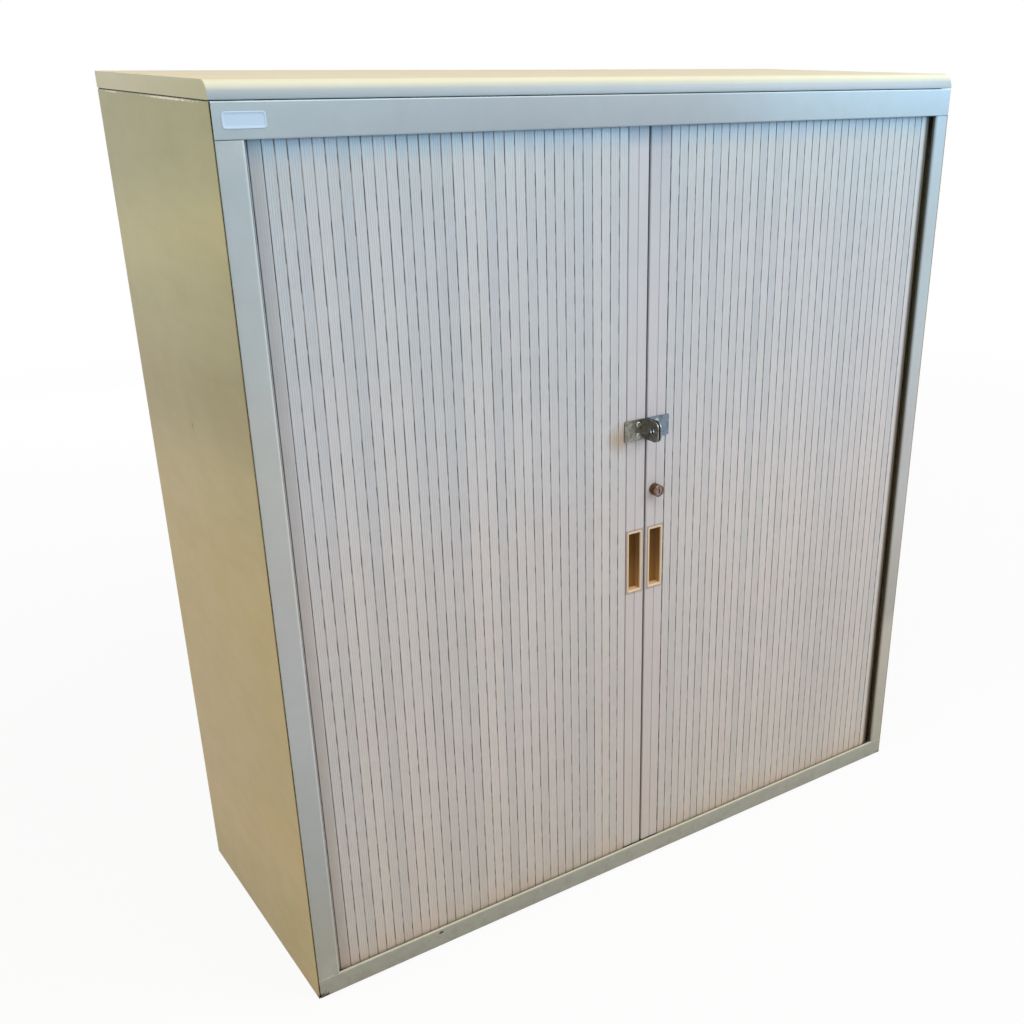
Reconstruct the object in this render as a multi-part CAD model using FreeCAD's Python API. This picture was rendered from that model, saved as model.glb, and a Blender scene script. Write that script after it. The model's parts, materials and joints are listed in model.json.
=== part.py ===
import FreeCAD, Part
import math
import os
from FreeCAD import Vector

# Roll front cupboard: a steel carcass whose two slatted shutters meet at the centre.
# Millimetres, +Z up, front face towards -Y, floor at z = 0, origin at the centre of the bounding box's foot.

# Carcass, overall
width = 1200.0
depth = 450.0
height = 1270.0
sheet = 1.0
join_gap = 0.3
foot_show = 2.0

# Top cap
cap_height = 21.0
cap_seam = 1.0
cap_nose_radius = 9.0
cap_lean_deg = 18.0
cap_return = 13.0

# Front frame
header_height = 40.0
header_return = 19.0
rail_top = 34.0
rail_return = 14.0
left_stile_width = 36.0
right_stile_width = 28.0
stile_flange = 24.0
edge_radius = 0.9
frame_seam = 0.4

# Shutter curtain
curtain_recess = 6.5
slat_pitch = 15.0
slat_thickness = 6.0
slat_groove = 1.6
slat_edge_radius = 1.0
tongue_start = 2.6
tongue_thickness = 1.2
tongue_length = 1.6
tongue_play = 0.3
first_slats = 2
group_slats = 5
corner_slats = 4
corner_radius = 45.0
slide_play = 0.5

# Tracks that the slat ends run in
track_wall = 1.5
track_base = 2.0
track_lip = 7.0
track_side_gap = 1.25
track_back_gap = 0.7
back_run = 105.0
base_drop = 10.0
ceiling_rise = 12.0

# Lead posts
post_width = 36.0
post_gap = 1.5
post_thickness = 16.0
post_wall = 1.8
post_plug = 10.0
post_groove_depth = 1.0

# Handle cups
cup_width = 28.0
cup_height = 102.0
cup_depth = 12.5
cup_wall = 1.5
cup_rim = 2.5
cup_rim_proud = 1.2
cup_fit = 0.2
cup_u = 20.0
cup_z = 569.5
cup_corner = 2.5

# Padlock brackets
bracket_plate = 39.5
bracket_height = 32.0
bracket_thickness = 2.0
bracket_reach = 31.0
bracket_z = 783.0
bracket_corner = 10.0
bracket_inset = 0.75
shackle_radius = 5.0
shackle_from_plate = 17.0
bracket_screw_u = 17.0
bracket_screw_pitch = 17.0
screw_head_radius = 4.2
screw_head_height = 2.2
screw_radius = 2.0
screw_length = 8.0
screw_play = 0.1

# Cam lock
lock_u = 16.5
lock_z = 683.0
lock_head_radius = 9.5
lock_head_proud = 14.0
lock_head_chamfer = 1.2
lock_barrel_radius = 8.0
lock_plug_radius = 6.0
lock_running = 0.05
lock_hole_play = 0.2
lock_nut_radius = 12.0
lock_nut_height = 3.8
lock_plug_recess = 0.8
key_slot_width = 2.0
key_slot_length = 8.0
key_slot_depth = 6.0
cam_gap = 0.5
cam_thickness = 2.5
cam_half_width = 6.0
cam_hook_wall = 4.0
cam_square = 7.8
cam_tail = 1.5
keep_pin_radius = 2.5
keep_pin_u = 12.0
keep_pin_rise = 1.5
keep_play = 1.0
keep_plate_width = 20.0
keep_plate_height = 40.0
keep_plate_thickness = 2.0

# Inside
lining_set_back = 60.0
lining_gap = 17.0
lining_return = 22.0
back_lining_gap = 20.0
floor_top = 36.0
floor_front = 24.0
shelf_front = 64.0
shelf_rim = 22.0
shelf_play = 1.0
shelf_count = 3
upright_width = 25.0
upright_thickness = 1.5
upright_from_edge = 30.0
slot_pitch = 25.0
slot_height = 12.0
slot_width = 3.0
clip_reach = 10.0
clip_thickness = 2.0
clip_width = 20.0
clip_rise = 14.0
clip_hook = 1.4
clip_hook_height = 9.0
clip_hook_width = 2.4

# Levelling feet
foot_pad_radius = 15.0
foot_pad_height = 8.0
foot_stem_radius = 4.0
foot_stem_top = 30.0
foot_nut_radius = 8.0
foot_nut_height = 6.0
foot_inset_u = 60.0
foot_inset_y = 45.0
foot_running = 0.05

# One overrun serves all cuts
overrun = 5.0

# Derived planes
bracket_out = bracket_reach + bracket_thickness - curtain_recess
front_y = bracket_out - (depth + bracket_out) / 2
back_y = front_y + depth
half = width / 2
cap_bottom = height - cap_height
frame_top = cap_bottom - cap_seam
header_low = frame_top - header_height
curtain_y = front_y + curtain_recess
side_inner = half - sheet - join_gap
lining_line = half - lining_gap
base_top = rail_top - base_drop
ceiling_low = header_low + ceiling_rise
track_half = slat_thickness / 2 + slide_play + track_wall
groove_half = slat_thickness / 2 + slide_play
slat_low = base_top + track_base + slide_play
slat_high = ceiling_low - track_base - slide_play

# Derived places of the curtain, measured outwards from the centre line
post_inner = post_gap / 2
post_outer = post_inner + post_width
side_line = half - sheet - track_side_gap - track_half
straight_slats = int((side_line - corner_radius - post_outer) / slat_pitch)
arc_u = post_outer + straight_slats * slat_pitch
arc_radius = side_line - arc_u
front_line = curtain_y + slat_thickness / 2
back_line = back_y - 2 * sheet - join_gap - track_back_gap - track_half
arc_front_y = front_line + arc_radius
arc_back_y = back_line - arc_radius


def box(x0, x1, y0, y1, z0, z1):
    return Part.makeBox(x1 - x0, y1 - y0, z1 - z0, Vector(x0, y0, z0))


def fused(shapes):
    shape = shapes[0]
    if len(shapes) > 1:
        shape = shape.multiFuse(shapes[1:])
    return shape.removeSplitter()


def prism(points, z0, z1):
    wire = Part.makePolygon([Vector(x, y, z0) for x, y in points + points[:1]])
    return Part.Face(wire).extrude(Vector(0, 0, z1 - z0))


def shifted(points, distance, closed):
    """Points moved to the left of the line's direction by a distance, with mitred corners."""
    count = len(points)
    moved = []
    for i in range(count):
        turns = []
        for a, b in ((i - 1, i), (i, i + 1)):
            if closed or (a >= 0 and b < count):
                start, end = points[a % count], points[b % count]
                run = math.hypot(end[0] - start[0], end[1] - start[1])
                turns.append(((start[1] - end[1]) / run, (end[0] - start[0]) / run))
        nx = sum(t[0] for t in turns) / len(turns)
        ny = sum(t[1] for t in turns) / len(turns)
        scale = distance / (nx * nx + ny * ny)
        moved.append((points[i][0] + nx * scale, points[i][1] + ny * scale))
    return moved


def folded(points, thickness, z0, z1):
    """A sheet that stands on edge along a line of points."""
    return prism(points + shifted(points, thickness, False)[::-1], z0, z1)


def tray(points, thickness, rim, z_top):
    """A sheet with its rim turned down all round."""
    inner = shifted(points, thickness, True)
    skin = prism(points, z_top - rim, z_top)
    return skin.cut(prism(inner, z_top - rim - overrun, z_top - thickness))


def cylinder_y(x, z, radius, y0, y1):
    return Part.makeCylinder(radius, y1 - y0, Vector(x, y0, z), Vector(0, 1, 0))


def hexagon_prism(x, y, z, radius, axis, length):
    """A hexagon of the given corner radius, drawn across the axis and extruded along it."""
    spread = Vector(1, 0, 0)
    other = axis.cross(spread)
    centre = Vector(x, y, z)
    corners = []
    for i in range(7):
        turn = math.radians(60 * i)
        corners.append(centre + spread * (radius * math.cos(turn)) + other * (radius * math.sin(turn)))
    return Part.Face(Part.makePolygon(corners)).extrude(axis * length)


def mirrored(shape):
    return shape.mirror(Vector(0, 0, 0), Vector(1, 0, 0))


def on_side(side, shape):
    return shape if side == "right" else mirrored(shape)


# Side panel: an outer skin with its rear edge and foot turned in
def side_panel():
    skin = box(half - sheet, half, front_y + join_gap, back_y, foot_show, frame_top)
    rear = box(half - sheet - cap_return, half - sheet, back_y - sheet, back_y, foot_show, frame_top)
    foot_start = front_y + rail_return + 2 * sheet
    foot = box(half - sheet - cap_return, half - sheet, foot_start, back_y - sheet,
               foot_show, foot_show + sheet)
    return fused([skin, rear, foot])


def back_panel():
    low = foot_show + sheet + join_gap
    return box(-side_inner, side_inner, back_y - 2 * sheet, back_y - sheet, low, frame_top)


# Cap: a shallow hood whose front leans back and rounds into the top
def nose_face(inset, half_width):
    lean = math.radians(cap_lean_deg)
    radius = cap_nose_radius - inset
    centre_z = height - cap_nose_radius
    centre_y = front_y + (centre_z - cap_bottom) * math.tan(lean) + cap_nose_radius / math.cos(lean)

    def at(angle):
        return Vector(-half_width, centre_y - radius * math.cos(angle), centre_z + radius * math.sin(angle))

    start = Vector(-half_width, front_y + inset / math.cos(lean), cap_bottom)
    low, middle, high = at(lean), at((lean + math.pi / 2) / 2), at(math.pi / 2)
    back_high = Vector(-half_width, back_y - inset, height - inset)
    back_low = Vector(-half_width, back_y - inset, cap_bottom)
    edges = [Part.makeLine(start, low), Part.Arc(low, middle, high).toShape(), Part.makeLine(high, back_high),
             Part.makeLine(back_high, back_low), Part.makeLine(back_low, start)]
    return Part.Face(Part.Wire(edges))


def top_cap():
    outer = nose_face(0, half).extrude(Vector(width, 0, 0))
    inner = nose_face(sheet, half - sheet).extrude(Vector(width - 2 * sheet, 0, 0))
    start = front_y + header_return + 2 * sheet
    side_return = box(half - sheet - cap_return, half - sheet, start, back_y - sheet,
                      cap_bottom, cap_bottom + sheet)
    return fused([outer.cut(inner), side_return, mirrored(side_return)])


# Header and bottom rail: folded sheets across the whole front
def rounded_front(shape, z_edge):
    edges = [e for e in shape.Edges if e.BoundBox.XLength > half
             and abs(e.BoundBox.YMax - front_y) < sheet / 2 and abs(e.BoundBox.ZMin - z_edge) < sheet / 2]
    return shape.makeFillet(edge_radius, edges)


def header_rail():
    lip = curtain_recess - slide_play
    face = box(-side_inner, side_inner, front_y, front_y + sheet, header_low, frame_top)
    low = box(-side_inner, side_inner, front_y + sheet, front_y + lip, header_low, header_low + sheet)
    high = box(-side_inner, side_inner, front_y + sheet, front_y + sheet + header_return,
               frame_top - sheet, frame_top)
    return rounded_front(fused([face, low, high]), header_low)


def bottom_rail():
    lip = curtain_recess - slide_play
    face = box(-side_inner, side_inner, front_y, front_y + sheet, foot_show, rail_top)
    ledge = box(-side_inner, side_inner, front_y + sheet, front_y + lip, rail_top - sheet, rail_top)
    low = box(-side_inner, side_inner, front_y + sheet, front_y + sheet + rail_return,
              foot_show, foot_show + sheet)
    return rounded_front(fused([face, ledge, low]), rail_top)


# Stile: a flat face with a hem at the shutter and a long flange along the side panel
def stile(width):
    low, high = rail_top + frame_seam, header_low - frame_seam
    inner = half - width
    hem = curtain_recess - slide_play
    face = box(inner, side_inner, front_y, front_y + sheet, low, high)
    lip = box(inner, inner + sheet, front_y + sheet, front_y + hem, low, high)
    flange = box(side_inner - sheet, side_inner, front_y + sheet, front_y + sheet + stile_flange, low, high)
    shape = fused([face, lip, flange])
    edges = [e for e in shape.Edges if e.BoundBox.ZLength > height / 2
             and abs(e.BoundBox.XMin - inner) < sheet / 2 and abs(e.BoundBox.YMin - front_y) < sheet / 2]
    return shape.makeFillet(edge_radius, edges)


# Pans above and below the shutters, which carry the tracks
def pan_outline():
    return [(-side_inner, front_y + sheet + join_gap), (side_inner, front_y + sheet + join_gap),
            (side_inner, back_y - 2 * sheet - join_gap), (-side_inner, back_y - 2 * sheet - join_gap)]


def foot_places():
    u = half - foot_inset_u
    near, far = front_y + foot_inset_y, back_y - foot_inset_y - foot_pad_radius
    return [("front_left", -u, near), ("front_right", u, near),
            ("rear_left", -u, far), ("rear_right", u, far)]


def base_panel():
    rim = base_top - foot_show - sheet - join_gap
    pan = tray(pan_outline(), sheet, rim, base_top)
    hole = foot_stem_radius + foot_running
    low = base_top - overrun
    holes = [Part.makeCylinder(hole, 2 * overrun, Vector(x, y, low)) for name, x, y in foot_places()]
    return pan.cut(Part.makeCompound(holes))


def ceiling_panel():
    x0, y0 = pan_outline()[0]
    x1, y1 = pan_outline()[2]
    pan = box(x0, x1, y0, y1, ceiling_low, ceiling_low + sheet)
    flange_start = front_y + sheet + header_return + join_gap
    sides = box(x1 - sheet, x1, flange_start, y1, ceiling_low + sheet, cap_bottom)
    front = box(x0, x1, y0, y0 + sheet, ceiling_low + sheet, frame_top - sheet - join_gap)
    return fused([pan, sides, mirrored(sides), front])


# Tracks: along the front, round the corner, down the side, round again and a stretch along the back
def track_edges(offset, z):
    outer = arc_radius + offset
    side_u = arc_u + outer
    diagonal = outer * math.sqrt(0.5)
    front = arc_front_y - outer
    back = arc_back_y + outer
    start = Vector(join_gap, front, z)
    a = Vector(arc_u, front, z)
    b = Vector(side_u, arc_front_y, z)
    c = Vector(side_u, arc_back_y, z)
    d = Vector(arc_u, back, z)
    end = Vector(arc_u - back_run, back, z)
    first = Part.Arc(a, Vector(arc_u + diagonal, arc_front_y - diagonal, z), b).toShape()
    second = Part.Arc(c, Vector(arc_u + diagonal, arc_back_y + diagonal, z), d).toShape()
    return [Part.makeLine(start, a), first, Part.makeLine(b, c), second, Part.makeLine(d, end)], start, end


def track_strip(near, far, z0, z1):
    outer, outer_start, outer_end = track_edges(far, z0)
    inner, inner_start, inner_end = track_edges(near, z0)
    ends = [Part.makeLine(outer_end, inner_end), Part.makeLine(inner_start, outer_start)]
    wire = Part.Wire(Part.__sortEdges__(outer + inner + ends))
    return Part.Face(wire).extrude(Vector(0, 0, z1 - z0))


def track(base_low, lip_low):
    base = track_strip(-track_half, track_half, base_low, base_low + track_base)
    outer = track_strip(groove_half, track_half, lip_low, lip_low + track_lip)
    inner = track_strip(-track_half, -groove_half, lip_low, lip_low + track_lip)
    return fused([base, outer, inner])


# Slats: hooked together edge to edge, the tongue of one in the slot of the next
def slat_face(start, width_of, tongue, slot, z):
    g = slat_groove / 2
    r = slat_edge_radius
    left, right = start + g, start + width_of - g
    t0, t1 = tongue_start, tongue_start + tongue_thickness
    diagonal = r * (1 - math.sqrt(0.5))

    def at(u, v):
        return Vector(u, curtain_y + v, z)

    first = Part.Arc(at(left, r), at(left + diagonal, diagonal), at(left + r, 0)).toShape()
    second = Part.Arc(at(right - r, 0), at(right - diagonal, diagonal), at(right, r)).toShape()
    outline = [at(right, r)]
    if tongue:
        tip = start + width_of + g + tongue_length
        outline += [at(right, t0), at(tip, t0), at(tip, t1), at(right, t1)]
    outline += [at(right, slat_thickness), at(left, slat_thickness)]
    if slot:
        floor = left + tongue_length + tongue_play
        outline += [at(left, t1 + tongue_play), at(floor, t1 + tongue_play),
                    at(floor, t0 - tongue_play), at(left, t0 - tongue_play)]
    outline += [at(left, r)]
    lines = [Part.makeLine(a, b) for a, b in zip(outline, outline[1:])]
    front = Part.makeLine(at(left + r, 0), at(right - r, 0))
    return Part.Face(Part.Wire(Part.__sortEdges__([first, front, second] + lines)))


def slat(index):
    start = post_outer + index * slat_pitch
    face = slat_face(start, slat_pitch, index < straight_slats - 1, True, slat_low)
    return face.extrude(Vector(0, 0, slat_high - slat_low))


def turned_slat(index):
    plain = slat_face(arc_u - slat_pitch / 2, slat_pitch, False, False, slat_low)
    solid = plain.extrude(Vector(0, 0, slat_high - slat_low))
    turn = math.degrees((index + 0.5) * slat_pitch / arc_radius)
    solid.rotate(Vector(arc_u, arc_front_y, 0), Vector(0, 0, 1), turn)
    return solid


def slat_groups():
    groups = [list(range(first_slats))]
    for start in range(first_slats, straight_slats, group_slats):
        groups.append(list(range(start, min(start + group_slats, straight_slats))))
    return groups


# Lead post: a hollow section with a groove down its middle, plugged ends and a tongue for the first slat
def lead_post(side):
    low, high = rail_top + slide_play, ceiling_low - track_base - track_lip - slide_play
    g = slat_groove / 2
    face = slat_face(post_inner - g, post_width + g, True, False, low)
    skin = face.extrude(Vector(0, 0, high - low))
    back = box(post_inner, post_outer - g, curtain_y + slat_thickness, curtain_y + post_thickness, low, high)
    left, right = post_inner + post_wall, post_outer - g - post_wall
    core = box(left, right, curtain_y + post_wall, curtain_y + post_thickness - post_wall,
               low + post_plug, high - post_plug)
    middle = (post_inner + post_outer) / 2
    groove = prism([(middle - g, curtain_y), (middle + g, curtain_y),
                    (middle, curtain_y + post_groove_depth)], low - overrun, high + overrun)
    guides = box(post_inner + post_wall, right, curtain_y, curtain_y + slat_thickness, slat_low, slat_high)
    shape = fused([skin, back, guides]).cut(core).cut(groove)
    opening_half = cup_width / 2 - cup_rim
    opening_rise = cup_height / 2 - cup_rim
    opening = box(cup_u - opening_half, cup_u + opening_half, curtain_y - overrun, curtain_y + overrun,
                  cup_z - opening_rise, cup_z + opening_rise)
    shape = shape.cut(opening)
    for z in bracket_screw_places():
        shape = shape.cut(cylinder_y(bracket_screw_u, z, screw_radius + screw_play, curtain_y - overrun,
                                     curtain_y + overrun))
    if side == "right":
        shape = shape.cut(cylinder_y(lock_u, lock_z, lock_barrel_radius + lock_hole_play, curtain_y - overrun,
                                     curtain_y + post_thickness + overrun))
    return shape


# Handle cup: a thin rim on the post's face round a deep tray
def handle_cup():
    half_w, half_h = cup_width / 2, cup_height / 2
    body_w, body_h = half_w - cup_rim - cup_fit, half_h - cup_rim - cup_fit
    rim = box(cup_u - half_w, cup_u + half_w, curtain_y - cup_rim_proud, curtain_y,
              cup_z - half_h, cup_z + half_h)
    corners = [e for e in rim.Edges if abs(e.BoundBox.YLength - cup_rim_proud) < cup_fit]
    rim = rim.makeFillet(cup_corner, corners)
    body = box(cup_u - body_w, cup_u + body_w, curtain_y, curtain_y + cup_depth,
               cup_z - body_h, cup_z + body_h)
    inner_w, inner_h = body_w - cup_wall, body_h - cup_wall
    cavity = box(cup_u - inner_w, cup_u + inner_w, curtain_y - overrun, curtain_y + cup_depth - cup_wall,
                 cup_z - inner_h, cup_z + inner_h)
    upright = [e for e in cavity.Edges if abs(e.BoundBox.YLength - overrun - cup_depth + cup_wall) < cup_fit]
    return fused([rim, body]).cut(cavity.makeFillet(cup_corner - cup_wall, upright))


# Padlock bracket: a plate on the post and a tab that stands out beside the meeting line
def bracket_screw_places():
    return [bracket_z - bracket_screw_pitch / 2, bracket_z + bracket_screw_pitch / 2]


def padlock_bracket():
    inner = post_inner + bracket_inset
    low, high = bracket_z - bracket_height / 2, bracket_z + bracket_height / 2
    plate = box(inner, inner + bracket_plate, curtain_y - bracket_thickness, curtain_y, low, high)
    plate_corners = [e for e in plate.Edges if abs(e.BoundBox.YLength - bracket_thickness) < screw_play
                     and e.BoundBox.XMin > inner + bracket_thickness]
    plate = plate.makeFillet(bracket_thickness, plate_corners)
    tip = curtain_y - bracket_thickness - bracket_reach
    tab = box(inner, inner + bracket_thickness, tip, curtain_y - bracket_thickness / 2, low, high)
    tip_corners = [e for e in tab.Edges if e.BoundBox.YMax < tip + screw_play
                   and abs(e.BoundBox.XLength - bracket_thickness) < screw_play]
    tab = tab.makeFillet(bracket_corner, tip_corners)
    hole_y = curtain_y - bracket_thickness - shackle_from_plate
    hole = Part.makeCylinder(shackle_radius, bracket_thickness + 2 * overrun,
                             Vector(inner - overrun, hole_y, bracket_z), Vector(1, 0, 0))
    shape = fused([plate, tab.cut(hole)])
    for z in bracket_screw_places():
        shape = shape.cut(cylinder_y(bracket_screw_u, z, screw_radius + screw_play, curtain_y - overrun,
                                     curtain_y + overrun))
    return shape


def bracket_screws():
    screws = []
    top = curtain_y - bracket_thickness
    for z in bracket_screw_places():
        head = cylinder_y(bracket_screw_u, z, screw_head_radius, top - screw_head_height, top)
        rim = [e for e in head.Edges if e.BoundBox.YMax < top - screw_head_height / 2]
        head = head.makeFillet(screw_head_height / 2, rim)
        shank = cylinder_y(bracket_screw_u, z, screw_radius, top, top + screw_length)
        arm = screw_head_radius * 2 / 3
        blade = screw_radius / 5
        bite = top - screw_head_height * 3 / 5
        cross = [box(bracket_screw_u - arm, bracket_screw_u + arm, top - overrun, bite, z - blade, z + blade),
                 box(bracket_screw_u - blade, bracket_screw_u + blade, top - overrun, bite, z - arm, z + arm)]
        screws.append(fused([head, shank]).cut(Part.makeCompound(cross)))
    return Part.makeCompound(screws)


# Cam lock in the right post: barrel, plug, nut and hook, and the keep on the left post
lock_back = curtain_y + post_thickness + lock_nut_height
cam_front = lock_back + cam_gap
cam_back = cam_front + cam_thickness


def lock_barrel():
    head = cylinder_y(lock_u, lock_z, lock_head_radius, curtain_y - lock_head_proud, curtain_y)
    rim = [e for e in head.Edges if e.BoundBox.YMax < curtain_y - lock_head_proud / 2]
    head = head.makeChamfer(lock_head_chamfer, rim)
    body = cylinder_y(lock_u, lock_z, lock_barrel_radius, curtain_y, lock_back)
    bore = cylinder_y(lock_u, lock_z, lock_plug_radius + lock_running, curtain_y - lock_head_proud - overrun,
                      lock_back + overrun)
    return fused([head, body]).cut(bore)


def lock_plug():
    front = curtain_y - lock_head_proud + lock_plug_recess
    plug = cylinder_y(lock_u, lock_z, lock_plug_radius, front, cam_front)
    tail_half = cam_square / 2
    tail = box(lock_u - tail_half, lock_u + tail_half, cam_front, cam_back + cam_tail,
               lock_z - tail_half, lock_z + tail_half)
    slot = box(lock_u - key_slot_width / 2, lock_u + key_slot_width / 2,
               front - overrun, front + key_slot_depth,
               lock_z - key_slot_length / 2, lock_z + key_slot_length / 2)
    return fused([plug, tail]).cut(slot)


def lock_nut():
    back = curtain_y + post_thickness
    nut = hexagon_prism(lock_u, back, lock_z, lock_nut_radius, Vector(0, 1, 0), lock_nut_height)
    bore = cylinder_y(lock_u, lock_z, lock_barrel_radius + lock_running, back - overrun, lock_back + overrun)
    return nut.cut(bore)


def lock_cam():
    reach = lock_u + keep_pin_u
    notch = keep_pin_radius + keep_play
    tip = reach + notch + cam_hook_wall
    arm = box(lock_u - cam_half_width, lock_u + cam_half_width, cam_front, cam_back, lock_z - tip, lock_z)
    boss = cylinder_y(lock_u, lock_z, cam_half_width + cam_thickness / 2, cam_front, cam_back)
    floor = lock_u - (keep_pin_rise - notch)
    mouth = box(lock_u - cam_half_width - overrun, floor, cam_front - overrun, cam_back + overrun,
                lock_z - reach - notch, lock_z - reach + notch)
    hole_half = cam_square / 2 + screw_play
    hole = box(lock_u - hole_half, lock_u + hole_half, cam_front - overrun, cam_back + overrun,
               lock_z - hole_half, lock_z + hole_half)
    return fused([arm, boss]).cut(mouth).cut(hole)


def lock_keep():
    back = curtain_y + post_thickness
    plate = box(-keep_pin_u - keep_plate_width / 2, -keep_pin_u + keep_plate_width / 2, back,
                back + keep_plate_thickness, lock_z - keep_plate_height / 2, lock_z + keep_plate_height / 2)
    pin = cylinder_y(-keep_pin_u, lock_z + keep_pin_rise, keep_pin_radius, back, cam_back + cam_gap)
    return fused([plate, pin])


# Inner lining: the pocket's wall, turned in behind each corner of the shutter's path
def lining_points(clearance):
    front = front_y + lining_set_back + clearance
    line = lining_line - sheet - clearance
    mouth = lining_line - sheet - lining_return
    back = back_y - back_lining_gap - sheet - clearance
    corner = arc_back_y - sheet - clearance
    return [(mouth, front), (line, front), (line, corner), (mouth, back)]


def lining():
    points = lining_points(0)
    outline = points + shifted(points, -sheet, False)[::-1]
    return prism(outline, base_top, ceiling_low)


def back_lining():
    edge = lining_points(0)[3][0] - join_gap
    back = back_y - back_lining_gap
    return box(-edge, edge, back - sheet, back, base_top, ceiling_low)


def symmetric(points):
    return points + [(-x, y) for x, y in points[::-1]]


def floor_panel():
    points = lining_points(join_gap)
    mouth, front = points[0]
    start = (mouth, front_y + floor_front)
    inner_mouth = (mouth - join_gap, front_y + floor_front)
    corner_in = (mouth - join_gap, front + sheet)
    run = [inner_mouth, corner_in, (points[1][0], front + sheet), points[2], (mouth - join_gap, points[3][1])]
    return tray(symmetric(run), sheet, floor_top - base_top, floor_top)


def shelf_outline():
    points = lining_points(join_gap)
    line = points[1][0] - upright_thickness - shelf_play
    back = points[3][1] - shelf_play
    mouth = points[3][0] - shelf_play
    return symmetric([(line, front_y + shelf_front), (line, points[2][1] - shelf_play), (mouth, back)])


def shelf_heights():
    step = (ceiling_low - floor_top) / (shelf_count + 1)
    return [floor_top + step * (i + 1) for i in range(shelf_count)]


def upright_places():
    near = front_y + lining_set_back + upright_from_edge
    far = arc_back_y - upright_from_edge - upright_width
    return [near, far]


def clip_slot_low(z_top):
    """The slot row that a clip hooks into: the nearest one below the shelf's rim."""
    rows = int((z_top - shelf_rim - clip_hook_height - floor_top) / slot_pitch)
    return floor_top + rows * slot_pitch


def uprights():
    solids = []
    line = lining_line - sheet
    for y in upright_places():
        strip = box(line - upright_thickness, line, y, y + upright_width, floor_top, ceiling_low)
        middle = y + upright_width / 2
        slots = []
        z = floor_top + slot_pitch
        while z + slot_height < ceiling_low - slot_pitch / 2:
            slots.append(box(line - upright_thickness - overrun, line + sheet / 2, middle - slot_width / 2,
                             middle + slot_width / 2, z, z + slot_height))
            z += slot_pitch
        strip = strip.cut(Part.makeCompound(slots))
        solids += [strip, mirrored(strip)]
    return Part.makeCompound(solids)


def clips():
    solids = []
    face = lining_line - sheet - upright_thickness
    for z_top in shelf_heights():
        rim_low = z_top - shelf_rim
        hook_low = clip_slot_low(z_top) + (slot_height - clip_hook_height) / 2
        for y in upright_places():
            middle = y + upright_width / 2
            y0, y1 = middle - clip_width / 2, middle + clip_width / 2
            drop = min(hook_low, rim_low - clip_rise)
            plate = box(face - clip_thickness, face, y0, y1, drop, rim_low)
            lip = box(face - clip_reach, face, y0, y1, rim_low - clip_thickness, rim_low)
            hook = box(face, face + clip_hook, middle - clip_hook_width / 2, middle + clip_hook_width / 2,
                       hook_low, hook_low + clip_hook_height)
            clip = fused([plate, lip, hook])
            solids += [clip, mirrored(clip)]
    return Part.makeCompound(solids)


# Levelling feet: a round pad on a threaded stem, in a nut under the base
def foot(x, y):
    pad = Part.makeCylinder(foot_pad_radius, foot_pad_height, Vector(x, y, 0))
    rims = [e for e in pad.Edges if e.BoundBox.ZMin > foot_pad_height / 2 and e.BoundBox.ZLength < join_gap]
    pad = pad.makeChamfer(foot_pad_height / 4, rims)
    stem = Part.makeCylinder(foot_stem_radius, foot_stem_top - foot_pad_height, Vector(x, y, foot_pad_height))
    return fused([pad, stem])


def foot_nuts():
    nuts = []
    low = base_top - sheet - foot_nut_height
    for name, x, y in foot_places():
        nut = hexagon_prism(x, y, low, foot_nut_radius, Vector(0, 0, 1), foot_nut_height)
        bore = Part.makeCylinder(foot_stem_radius + foot_running, foot_nut_height + 2 * overrun,
                                 Vector(x, y, low - overrun))
        nuts.append(nut.cut(bore))
    return Part.makeCompound(nuts)


def save(name, shape):
    shape.exportStep("parts/" + name + ".step")
    solids = shape.Solids
    print(name, len(solids), "solids", round(sum(s.Volume for s in solids) / 1000, 2), "cm3", shape.isValid())


os.makedirs("parts", exist_ok=True)
save("back_panel", back_panel())
save("top_cap", top_cap())
save("ceiling_panel", ceiling_panel())
save("base_panel", base_panel())
save("floor_panel", floor_panel())
save("header_rail", header_rail())
save("bottom_rail", bottom_rail())
save("back_lining", back_lining())
save("shelf_uprights", uprights())
save("shelf_clips", clips())
save("foot_nuts", foot_nuts())

for shelf_name, shelf_z in zip(("shelf_low", "shelf_middle", "shelf_high"), shelf_heights()):
    save(shelf_name, tray(shelf_outline(), sheet, shelf_rim, shelf_z))

for foot_name, foot_x, foot_y in foot_places():
    save("foot_" + foot_name, foot(foot_x, foot_y))

save("left_stile", on_side("left", stile(left_stile_width)))
save("right_stile", on_side("right", stile(right_stile_width)))

for side in ("left", "right"):
    save(side + "_side_panel", on_side(side, side_panel()))
    save(side + "_lining", on_side(side, lining()))
    save(side + "_lower_track", on_side(side, track(base_top, base_top + track_base)))
    upper_base = ceiling_low - track_base
    save(side + "_upper_track", on_side(side, track(upper_base, upper_base - track_lip)))
    save(side + "_lead_post", on_side(side, lead_post(side)))
    save(side + "_handle_cup", on_side(side, handle_cup()))
    save(side + "_padlock_bracket", on_side(side, padlock_bracket()))
    save(side + "_bracket_screws", on_side(side, bracket_screws()))
    for number, members in enumerate(slat_groups(), 1):
        save(side + "_slats_" + str(number), on_side(side, Part.makeCompound([slat(i) for i in members])))
    turned = Part.makeCompound([turned_slat(i) for i in range(corner_slats)])
    save(side + "_corner_slats", on_side(side, turned))

save("lock_barrel", lock_barrel())
save("lock_plug", lock_plug())
save("lock_nut", lock_nut())
save("lock_cam", lock_cam())
save("lock_keep", lock_keep())
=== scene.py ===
import json
import math

import bmesh
import bpy
import numpy as np
from mathutils import Matrix, Vector


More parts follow.
